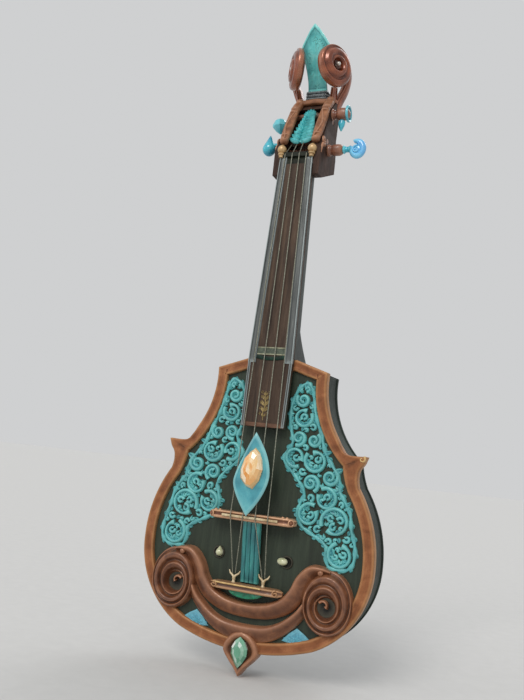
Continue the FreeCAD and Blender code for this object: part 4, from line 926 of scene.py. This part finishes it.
def make_neck_trim():
    """Double-ridged rails, the fingerboard's bands and end lip, and the panel under the nut."""
    ridge = [(0, 1.6), (0, -0.2), (0.02, -0.5), (0.06, -1.1), (0.12, -1.2), (0.17, -0.6),
        (0.22, -0.3), (0.42, -0.5), (0.62, -0.5), (0.8, -0.3), (0.84, -0.7), (0.88, -1.2),
        (0.96, -1.1), (0.99, -0.5), (1, -0.2), (1, 1.6)]
    edge = both_ways([(0, 0), (0.04, -0.5), (0.16, -0.75), (0.3, -0.5), (0.4, -0.15)])
    levels = [19.4, 16] + [12 - 5 * k for k in range(44)] + [-207, -211]
    over_body = [-208 - 5 * k for k in range(14)] + [-277.4]
    rails = [slab(run, lambda z: side * (outer(z) - width), lambda z: side * outer(z), section)
        for side in (-1, 1) for run, outer, width, section in ((levels, neck_half, 8.6, ridge),
        (over_body, board_half, 3, edge))]
    piece("edge_rail_mouldings", rails, "grey_rail", ["edge_rails"], sharp=50)
    bars = [cross_slab([top, top - 0.3, top - 1, top - 1.3], 15.4,
        [(0, 0.2), (0, -0.5), (0.02, -0.9)]) for top in (-194.4, -201.4)]
    piece("cross_band_bars", bars, "band_metal", ["cross_band"])
    strip = cross_slab([-195.8, -201.3], 15.4, [(0, 0.1), (0, -0.35), (0.03, -0.5)])
    piece("cross_band_strip", [strip], "band_dull")
    panel = cross_slab([19.8, 12], 10.6, [(0, 1.6), (0, 0.4)])
    piece("nut_panel", [panel], "dark_horn")
    # Dark green curved bar under the cross band: painted shadow below the band.
    depth = face_depth(-205.6) - 0.3
    arch = [(x, depth, -204.6 - 1.8 * (1 - (x / 15.4) ** 2), 2.1, 0.8)
        for x in [-15.4 + 30.8 * k / 30 for k in range(31)]]
    piece("cross_band_shadow_arch", [rail(arch, rounded(3, 16), (0, 0, 1))], "green_shadow")
    lip = cross_slab([-273.6, -274.2, -276, -277.6], 20.4, [(0, 1), (0, -0.3), (0.03, -0.8)])
    piece("fingerboard_lip", [lip], "lip_wood")


def make_fingerboard_inlay():
    """Gold stem with curling leaves let into the fingerboard."""
    place = plane((0, face_depth(-256), -256), (0, 0.05, 1), (0, -1, 0.05))
    shapes = [ribbon(smooth([(0, -15, 0.3, 0.5), (0.9, -7, 0.7, 0.6), (-0.9, 1, 0.8, 0.6),
        (0.3, 9, 0.7, 0.6), (0, 15, 0.3, 0.5)], 6), ROUND, place)]
    for v, reach, half in ((-11, 4, 1), (-5.5, 6, 1.4), (0.5, 6.8, 1.5), (6.5, 5.4, 1.3),
            (11, 3.6, 1)):
        for side in (-1, 1):
            shapes.append(petal(place, (0, v), 90 - side * 62, reach, half, 0.7, side * 70))
        for side in (-1, 1):
            path = curl((side * 3.6, v + 3.2), 1.5, 270, side * 0.9, 0.35, 0.6)
            shapes.append(ribbon(path, ROUND, place))
    piece("fingerboard_inlay_flowers", shapes, "gold_inlay", ["fingerboard_inlay"])


def make_knobs():
    """Turned round knobs at the top of the rails."""
    profile = [(0, 2.6), (2.6, 2.8), (3.4, 3.8), (4.2, 3.9), (4.8, 3), (5.4, 3.2), (6.6, 4.5),
        (8.6, 5.1), (10.6, 5), (12.4, 4.2), (13.8, 2.9), (14.4, 2), (15.2, 1.4), (15.7, 0.3)]
    shapes = [lathe(profile, (x, 4.4, 19.4), (0, 0.05, 1), 32) for x in (-17.6, 17.6)]
    piece("nut_knob_finials", shapes, "knob_gold", ["nut_knobs"])


# ------------------------------------------------------------------ pegbox

# Centre line of the right-hand beam, from the knobs up to the crossbar.
BEAM_LINE = [(18.6, 9.4, 41), (18.7, 33.8, 90.5), (18.5, 46, 104.6)]


def make_pegbox_frame():
    """Carved beams with beads at their joints, and a crossbar between their tops."""
    section = rounded(3, 28)
    shapes = []
    for side in (-1, 1):
        low, middle, top = (Vector((side * x, y, z)) for x, y, z in BEAM_LINE)
        for start, end in ((low, middle), (middle, top)):
            path = []
            for t in [k / 20 for k in range(21)]:
                swell = 0.8 + 0.2 * sin(pi * t) ** 0.6
                path.append((*start.lerp(end, t), 5.5 * swell, 3.7 * swell))
            shapes.append(rail(path, section, (1, 0, 0)))
        run = (middle - low).normalized()
        shapes += [ball(low + run * distance, radius, squash, run, 10, 28)
            for distance, radius, squash in ((1, 5, 0.8), (8, 5.3, 0.4), (48, 5.2, 0.4),
            (55, 5.2, 0.8))]
        shapes.append(ball(top, 5.5, 0.95, (1, 0, 0), 12, 28))
        line = smooth([(side * 16.4, 5.6, 44, 0.7, 0.9), (side * 21, 16.6, 64, 1, 1),
            (side * 16.6, 27.2, 85, 0.7, 0.9)], 12)
        shapes.append(rail(line, rounded(2, 10), (1, 0, 0)))
    depth, level = BEAM_LINE[-1][1:]
    bar = [(x, depth, level + 0.5 * cos(x * 0.2), 3.2, 3.6) for x in range(-18, 19, 2)]
    shapes.append(rail(bar, section, (0, 0, 1)))
    piece("pegbox_frame_beams", shapes, "frame_wood", ["pegbox_frame"],
        sharp=50)


def make_leaf():
    """Acanthus leaf: overlapping pointed leaflets fanning up from a stem."""
    (_, low_y, low_z), (_, high_y, high_z) = BEAM_LINE[:2]
    lean = atan2(high_y - low_y, high_z - low_z)
    place = plane((0, 11.4, 38), (0, sin(lean), cos(lean)), (0, -cos(lean), sin(lean)))
    outline = whole([(6, 2), (8.6, 10), (9, 22), (9, 34), (7, 44), (3, 50), (0, 52)])
    shapes = [dome(outline, (0, 26), [(1, 0), (1, 0.8), (0.95, 1.3), (0.1, 1.6)], place)]
    for k in range(9):
        start = 1.5 + 5.2 * k
        for side in (-1, 1):
            shapes.append(petal(place, (side * 1, start), 90 - side * (64 - 5 * k), 16 - 0.5 * k, 3,
                3.4, side * 14))
            shapes.append(petal(place, (side * 0.8, start + 3.4), 90 - side * (52 - 4 * k),
                9.6 - 0.4 * k, 2.5, 5, side * 30))
    shapes += [petal(place, (0, 44), 90 + turn, length, 2.3, 4.4)
        for turn, length in ((0, 15), (-14, 14), (14, 14), (-30, 12), (30, 12), (-46, 10),
        (46, 10))]
    piece("leaf_acanthus", shapes, "leaf_turquoise", ["leaf_ornament"],
        sharp=55)


def cheek(level):
    """How far out a cheek's face is at a level."""
    share = min(max((level - 38) / 24, 0), 1)
    return 26.5 + (24.3 - 26.5) * share


def make_cheek_scrolls():
    """Low spiral carved on the lower front of each cheek."""
    shapes = []
    for side in (-1, 1):
        def place(u, v, h, side=side):
            return (side * (cheek(v) - 0.3 + h), u, v)
        path = curl((15, 42), 5.2, 250, 1.5, 2, 2)
        tail = smooth([(9, 26, 0.8, 1), (9.4, 31, 1.6, 1.6), (11.4, 36, 2, 1.9), path[0]], 5)
        shapes.append(ribbon(tail[:-1] + path, ROUND, place))
    piece("cheek_scrolls", shapes, "frame_wood")


# ------------------------------------------------------------------ pegs

PEGS = {1: {"side": 1, "depth": 30, "level": 36.5, "cheek": 26.5, "collar": 18, "radius": 6.4},
    2: {"side": -1, "depth": 30, "level": 47, "cheek": 26.1, "collar": 5, "radius": 4.2},
    3: {"side": -1, "depth": 46, "level": 78, "cheek": 24.3, "collar": 5, "radius": 4.2},
    4: {"side": 1, "depth": 41, "level": 84.5, "cheek": 24.3, "collar": 16.5, "radius": 7.2}}
PEG_OF_STRING = {1: 2, 2: 3, 3: 4, 4: 1}
CHEEK_GAP = 0.3


def peg_point(number, out):
    """A point on the peg's axis, this far beyond its collar."""
    peg = PEGS[number]
    reach = peg["cheek"] + CHEEK_GAP + peg["collar"] + out
    return Vector((peg["side"] * reach, peg["depth"], peg["level"]))


# Collar outlines: (share of its length, share of its radius).
COLLAR_BULB = [(0.1, 1), (0.18, 0.98), (0.24, 0.84), (0.3, 0.82), (0.4, 0.95), (0.55, 1), (0.72, 1),
    (0.86, 0.92), (0.95, 0.72), (1, 0.5)]
COLLAR_BALL = [(0.08, 0.8), (0.16, 0.78), (0.22, 0.62), (0.3, 0.6), (0.38, 0.78), (0.5, 0.95),
    (0.64, 1), (0.8, 1), (0.94, 0.96), (1.08, 0.82), (1.18, 0.58), (1.24, 0.3), (1.26, 0.05)]


def make_peg_shafts():
    """Turned shafts with a bulb-shaped collar outside the cheek."""
    for number, peg in PEGS.items():
        long, r = peg["collar"], peg["radius"]
        face = 2 * peg["cheek"] + CHEEK_GAP
        profile = [(0.5, 2.7), (1, 3.15), (face, 3.15), (face, r - 0.9), (face + 0.5, r - 0.2)]
        bulb = COLLAR_BALL if number == 4 else COLLAR_BULB
        profile += [(face + long * share, r * radius) for share, radius in bulb]
        start = (-peg["side"] * peg["cheek"], peg["depth"], peg["level"])
        piece(f"peg_{number}_turned_shaft", [lathe(profile, start, (peg["side"], 0, 0), 48)],
            "peg_wood", [f"peg_shaft_{number}"], body=f"peg_{number}")


def make_windings():
    """Turns of string on each peg."""
    for index, number in PEG_OF_STRING.items():
        peg = PEGS[number]
        middle = (index - 2.5) * 8.2
        profile = [(-3, 3.2)]
        for turn in range(6):
            start = -3 + turn
            profile += [(start + 0.08, 3.7), (start + 0.3, 4.08), (start + 0.5, 4.2),
                (start + 0.7, 4.08), (start + 0.92, 3.7)]
        profile.append((3, 3.2))
        rings = lathe(profile, (middle, peg["depth"], peg["level"]), (1, 0, 0), 40)
        piece(f"winding_{number}_turns", [rings], "string_gut", [f"winding_{number}"],
            body=f"peg_{number}", sharp=80)


def lens(outline, centre, place, thick):
    """Shape crowned alike on its two faces."""
    back = [(0.03, -1), (0.4, -0.92), (0.75, -0.66), (0.93, -0.4), (1, -0.25)]
    levels = back + [(scale, -high) for scale, high in reversed(back)]
    return dome(outline, centre, [(scale, high * thick) for scale, high in levels], place)


def make_shell_head():
    """Peg 1: a turquoise stem and a curled shell that opens towards the collar."""
    stem = lathe([(0, 4.2), (1, 4.8), (2.2, 4), (3.4, 3.2), (6, 3.2), (8.5, 4.4)], peg_point(1, 0),
        (1, 0, 0), 28)
    centre = peg_point(1, 16)
    place = plane(centre, (0, 0, 1), (0, -1, 0))
    crescent = []
    for k in range(61):
        t = k / 60
        a = radians(122 - 322 * t)
        wide = 4.9 * (1 - 0.5 * t) * min(1, 0.35 + 4 * t)
        r = 11.4 - wide - 1.2 * t
        crescent.append((r * cos(a), r * sin(a), wide))
    front = [(-1, 0), (-0.9, 1.3), (-0.55, 2.5), (0, 3.2), (0.55, 2.6), (0.9, 1.4), (1, 0)]
    section = front + [(s, -h) for s, h in reversed(front[1:-1])]
    rows = []
    for u, v, half in crescent:
        a = atan2(v, u)
        rows.append([place(-0.9 * (u + cos(a) * half * s), 1.06 * (v + sin(a) * half * s), h)
            for s, h in section])
    middle = lens([(6.4 * cos(radians(a)) + 0.6, 6.4 * sin(radians(a)) - 0.8)
        for a in range(0, 360, 12)], (0.6, -0.8), place, 2.2)
    shapes = [skin(rows), middle]
    for face in (-1, 1):
        facing = plane(centre + Vector((0, -face * 1.9, 0)), (0, 0, 1), (0, -face, 0))
        path = curl((face * 0.8, -0.8), 4.6, 100, -face * 1.3, 0.7, 1.2)
        shapes.append(ribbon(path, ROUND, facing))
    piece("peg_1_shell", shapes, "shell_blue", ["peg_head_1"], body="peg_1",
        sharp=40)
    piece("peg_1_stem", [stem], "peg_glass", body="peg_1")


def make_drop_head():
    """Peg 2: a smooth upright teardrop on a short link."""
    centre = peg_point(2, 13) - Vector((0, 0, 5))
    link = lathe([(0, 2.2), (1.5, 2.8), (3, 2), (7, 2.2), (9, 2.6)], peg_point(2, 0), (-1, 0, 0),
        24)
    profile = [(-7.9, 0.2), (-7.4, 2.2), (-6.2, 4.3), (-4, 6.4), (-1, 7.6), (2, 7.5), (5, 6.4),
        (8.5, 4.6), (12, 2.9), (15, 1.5), (17, 0.3)]
    drop = lathe(smooth(profile, 4), centre, (0, 0, 1), 40)
    piece("peg_2_drop", [link, drop], "peg_glass", ["peg_head_2"], body="peg_2", sharp=60)


def make_cut_head():
    """Peg 3: a cut stone, broad above and pointed below."""
    link = lathe([(0, 2.2), (1.4, 2.9), (2.6, 2), (4.6, 2.4), (6, 3)], peg_point(3, 0), (-1, 0, 0),
        24)
    stone = lathe([(-10, 0.6), (-7.5, 3.6), (-4, 7), (-1, 9), (2, 9), (5.5, 7.4), (8, 4.6),
        (9.6, 0.6)], peg_point(3, 11), (-0.12, 0, 1), 9)
    piece("peg_3_stone", [link, stone], "peg_glass", ["peg_head_3"], body="peg_3", sharp=12)


def make_ring_head():
    """Peg 4: a ring round the end of the boss, and a leaf hanging from it."""
    section = [(0.3, 7), (0.8, 7.6), (0.6, 8.6), (1, 9.3), (2, 9.6), (3, 9.4), (3.6, 8.6),
        (3.4, 7.6), (3, 7), (1.6, 6.6)]
    rows = []
    centre = peg_point(4, 0)
    for k in range(48):
        a = 2 * pi * k / 48
        rows.append([tuple(centre + Vector((h, r * cos(a), r * sin(a)))) for h, r in section])
    place = plane(peg_point(4, -5) - Vector((0, 0, 6.4)), (0, 0, 1), (0, -1, 0))
    drop = whole([(0, 1.5), (3.4, -1.5), (3.9, -5), (2.6, -9.5), (0, -14)])
    leaf = lens(smooth(drop, 4, closed=True), (0, -5), place, 3)
    piece("peg_4_ring", [skin(rows, loop=True), leaf], "peg_glass", ["peg_head_4"], body="peg_4",
        sharp=40)


# ------------------------------------------------------------------ head

SPLAY = radians(30)


def make_scrolls():
    """Domed discs with a winding ridge, flatter on the inner face, and a pale pin in each eye."""
    outer = [(0, 0.6), (0.04, 2.6), (0.14, 4.2), (0.3, 5.2), (0.5, 6.4), (0.68, 7.4), (0.8, 7.4),
        (0.88, 6), (1, 1)]
    inner = [(0, 4.2), (0.06, 5.8), (0.14, 6.8), (0.3, 7), (1, 7)]
    pin = [(0.2, 1.6), (3.6, 1.7), (4.2, 2.4), (5, 2.6), (6.2, 2.4), (7, 1.7), (7.5, 0.3)]
    ring = (0, 0, 23.9, 23.9)
    pins = []
    for side, label in ((-1, "left"), (1, "right")):
        centre = Vector((side * 24, 35, 142.5))
        normal = Vector((side * cos(SPLAY), -sin(SPLAY), 0))
        place = plane(centre, (0, 0, 1), normal)
        front = spiral_relief(place, ring, (0, 0, 5.2), outer, 2.6, 1.9, 52)
        rear = spiral_relief(lambda u, v, h: place(u, v, -h), ring, (0, 0, 1), inner, 1.6, 2.2, 40)
        piece(f"scroll_{label}_carving", [skin(rear[::-1] + front)], "scroll_copper",
            [f"scroll_{label}"], sharp=70)
        pins.append(lathe(pin, centre, normal, 28))
    piece("scroll_pin_heads", pins, "pin_pale", ["scroll_pins"])


def make_scroll_arms():
    """Straps from the pegbox's top up behind the scrolls, and stems in front."""
    shapes = []
    fluted = [(u, v * (1 - 0.12 * cos(3 * pi * u) * abs(v))) for u, v in rounded(3, 32)]
    for side in (-1, 1):
        strap = [(20.5, 58, 96, 4.2, 5.6), (23, 61, 110, 4.5, 6), (28.5, 61.6, 124, 4.5, 6),
            (32.5, 58.5, 137, 4, 5.2), (34, 53, 147.5, 2.6, 3.2), (33.6, 49.6, 152, 1.2, 1.4)]
        stem = [(19, 52, 99, 3.4, 5.8), (20, 50, 110, 3.2, 7.3), (21.5, 46, 121, 2.8, 6.8)]
        for stations in (strap, stem):
            path = smooth([(side * x, y, z, w, d) for x, y, z, w, d in stations], 7)
            shapes.append(rail(path, fluted, (1, 0, 0)))
        shapes.append(ball((side * 20, 53, 106.5), 5, 0.8, (0, 0, 1), 10, 24))
    piece("scroll_arm_straps", shapes, "scroll_copper", ["scroll_arms"],
        sharp=55)


def make_lance():
    """Blade with a raised edge and keel, veined like a leaf, on a beaded collar."""
    lean = atan2(33.5, 69)
    place = plane((0, 52, 119), (0, -sin(lean), cos(lean)), (0, -cos(lean), -sin(lean)))
    right = [(11.6, 0.4), (11, 12), (12.4, 26), (15, 40), (16.8, 51), (13, 59), (5.2, 71)]
    blade = whole(smooth(right, 4) + [(0, 76.4)])
    levels = [(0.9, -2.5), (0.98, -2), (1, -0.8), (1, 1.2), (0.985, 2.1), (0.95, 2.5), (0.9, 2.4),
        (0.87, 1.5), (0.84, 1.3), (0.5, 1.7), (0.03, 2.2)]
    shapes = [dome(blade, (0, 40), levels, place)]
    spine = smooth([(0, 3, 0.5, 2.1), (0, 30, 0.6, 2.3), (0, 55, 0.5, 2.3), (0, 72, 0.2, 2.1)], 8)
    shapes.append(ribbon(spine, ROUND, place))
    rng = random.Random(3)
    for _ in range(26):
        level = rng.uniform(5, 60)
        room = sample([(0, 8.6), (12, 8.2), (26, 9.4), (51, 13), (60, 9), (72, 3)], level)
        u = rng.uniform(-0.8, 0.8) * room
        path = curl((u, level), rng.uniform(1.4, 3), rng.uniform(0, 360), rng.choice((-0.8, 0.8)),
            0.35, 2.1, 0.5)
        shapes.append(ribbon([(x, z, w, h + 0.1) for x, z, w, h in path], ROUND, place))
    piece("lance_blade_carving", shapes, "lance_jade", ["lance_blade"],
        sharp=45)
    collar = [(108.2, 11.6, 5.4), (109.4, 12.4, 6), (111.4, 12.4, 6), (112.2, 11.4, 5),
        (113, 12.6, 6), (115.6, 12.6, 6), (116.4, 11.4, 5), (117.2, 12.6, 6), (118.8, 11.8, 5.4)]
    band = [skin([[(wide * u, 53 + deep * v, level) for u, v in rounded(5, 40)]
        for level, wide, deep in collar])]
    for level in (110.4, 114.3, 118):
        band += [ball((-11.2 + 22.4 * k / 9, 46.9, level), 1.25, 0.9, (0, 1, 0), 6, 12)
            for k in range(10)]
        band += [ball((x, 49.4 + 2.6 * k, level), 1.2, 0.9, (1, 0, 0), 6, 12) for k in range(4)
            for x in (-12.6, 12.6)]
    piece("lance_collar_beads", band, "collar_metal", ["lance_collar"])


# ------------------------------------------------------------------ setting

def make_stage():
    """Wide pale floor just under the object, with a matching pale surround."""
    low = cad_box[0].z - 0.0005
    grid = bmesh.new()
    bmesh.ops.create_grid(grid, x_segments=8, y_segments=8, size=40)
    mesh = bpy.data.meshes.new("floor")
    grid.to_mesh(mesh)
    grid.free()
    floor = bpy.data.objects.new("floor", mesh)
    floor.location = (0, 0, low)
    scene.collection.objects.link(floor)
    finish("floor_paper", ((200, 200, 199), (202, 202, 201), (204, 204, 203)), rough=0.95,
        spread=0.03, bump=0.02)
    mesh.materials.append(FINISHES["floor_paper"])
    world = bpy.data.worlds.new("surround")
    world.use_nodes = True
    world.node_tree.nodes["Background"].inputs["Color"].default_value = rgb(226, 227, 228)
    world.node_tree.nodes["Background"].inputs["Strength"].default_value = 0.82
    scene.world = world


def soft_light(name, travel, strength, spread, warmth):
    """Distant broad light, so the floor is lit alike all the way back."""
    light = bpy.data.lights.new(name, "SUN")
    light.angle = radians(spread)
    light.energy = strength
    light.color = warmth
    obj = bpy.data.objects.new(name, light)
    obj.rotation_mode = "QUATERNION"
    obj.rotation_quaternion = Vector(travel).normalized().to_track_quat("-Z", "Y")
    scene.collection.objects.link(obj)


def make_lights():
    """Large soft key from high in front, a fill from the left and a rim from behind."""
    soft_light("key", (0.1, 1.9, -1.5), 1.45, 26, (1, 0.97, 0.93))
    soft_light("fill", (1.7, 1.2, -0.5), 0.35, 50, (0.93, 0.97, 1))
    soft_light("rim", (-0.6, -1.8, -1.9), 0.5, 30, (1, 1, 1))


# Yaw, pitch and roll in degrees, then place in metres, focal length and sensor width in mm.
CAMERA_TURN = (22.88, 8.73, 6.34)
CAMERA_AT = (0.2943, -0.7284, -0.3183)
LENS, SENSOR = 39.09, 36


def make_camera():
    """The photographed view: from the lower right front, looking up, tilted a little."""
    yaw, pitch, roll = (radians(a) for a in CAMERA_TURN)
    forward = Vector((-sin(yaw) * cos(pitch), cos(yaw) * cos(pitch), sin(pitch)))
    right = Vector((cos(yaw), sin(yaw), 0))
    up = right.cross(forward)
    tilted_right = right * cos(roll) + up * sin(roll)
    tilted_up = up * cos(roll) - right * sin(roll)
    data = bpy.data.cameras.new("camera")
    data.sensor_width = SENSOR
    data.lens = LENS
    data.clip_start, data.clip_end = 0.02, 100
    camera = bpy.data.objects.new("camera", data)
    camera.rotation_mode = "QUATERNION"
    camera.rotation_quaternion = Matrix((tilted_right, tilted_up,
        -forward)).transposed().to_quaternion()
    camera.location = CAMERA_AT
    scene.collection.objects.link(camera)
    scene.camera = camera


for make in (make_rim, make_filigree, make_volutes, make_swags, make_inlays, make_bottom_jewel,
        make_pearls, make_plaque, make_bridge, make_tailpiece, make_string_bar, make_neck,
        make_neck_trim, make_fingerboard_inlay, make_knobs, make_pegbox_frame, make_leaf,
        make_cheek_scrolls, make_peg_shafts, make_windings, make_shell_head, make_drop_head,
        make_cut_head, make_ring_head, make_scrolls, make_scroll_arms, make_lance, make_stage,
        make_lights, make_camera):
    make()
scene.view_settings.view_transform = "Standard"
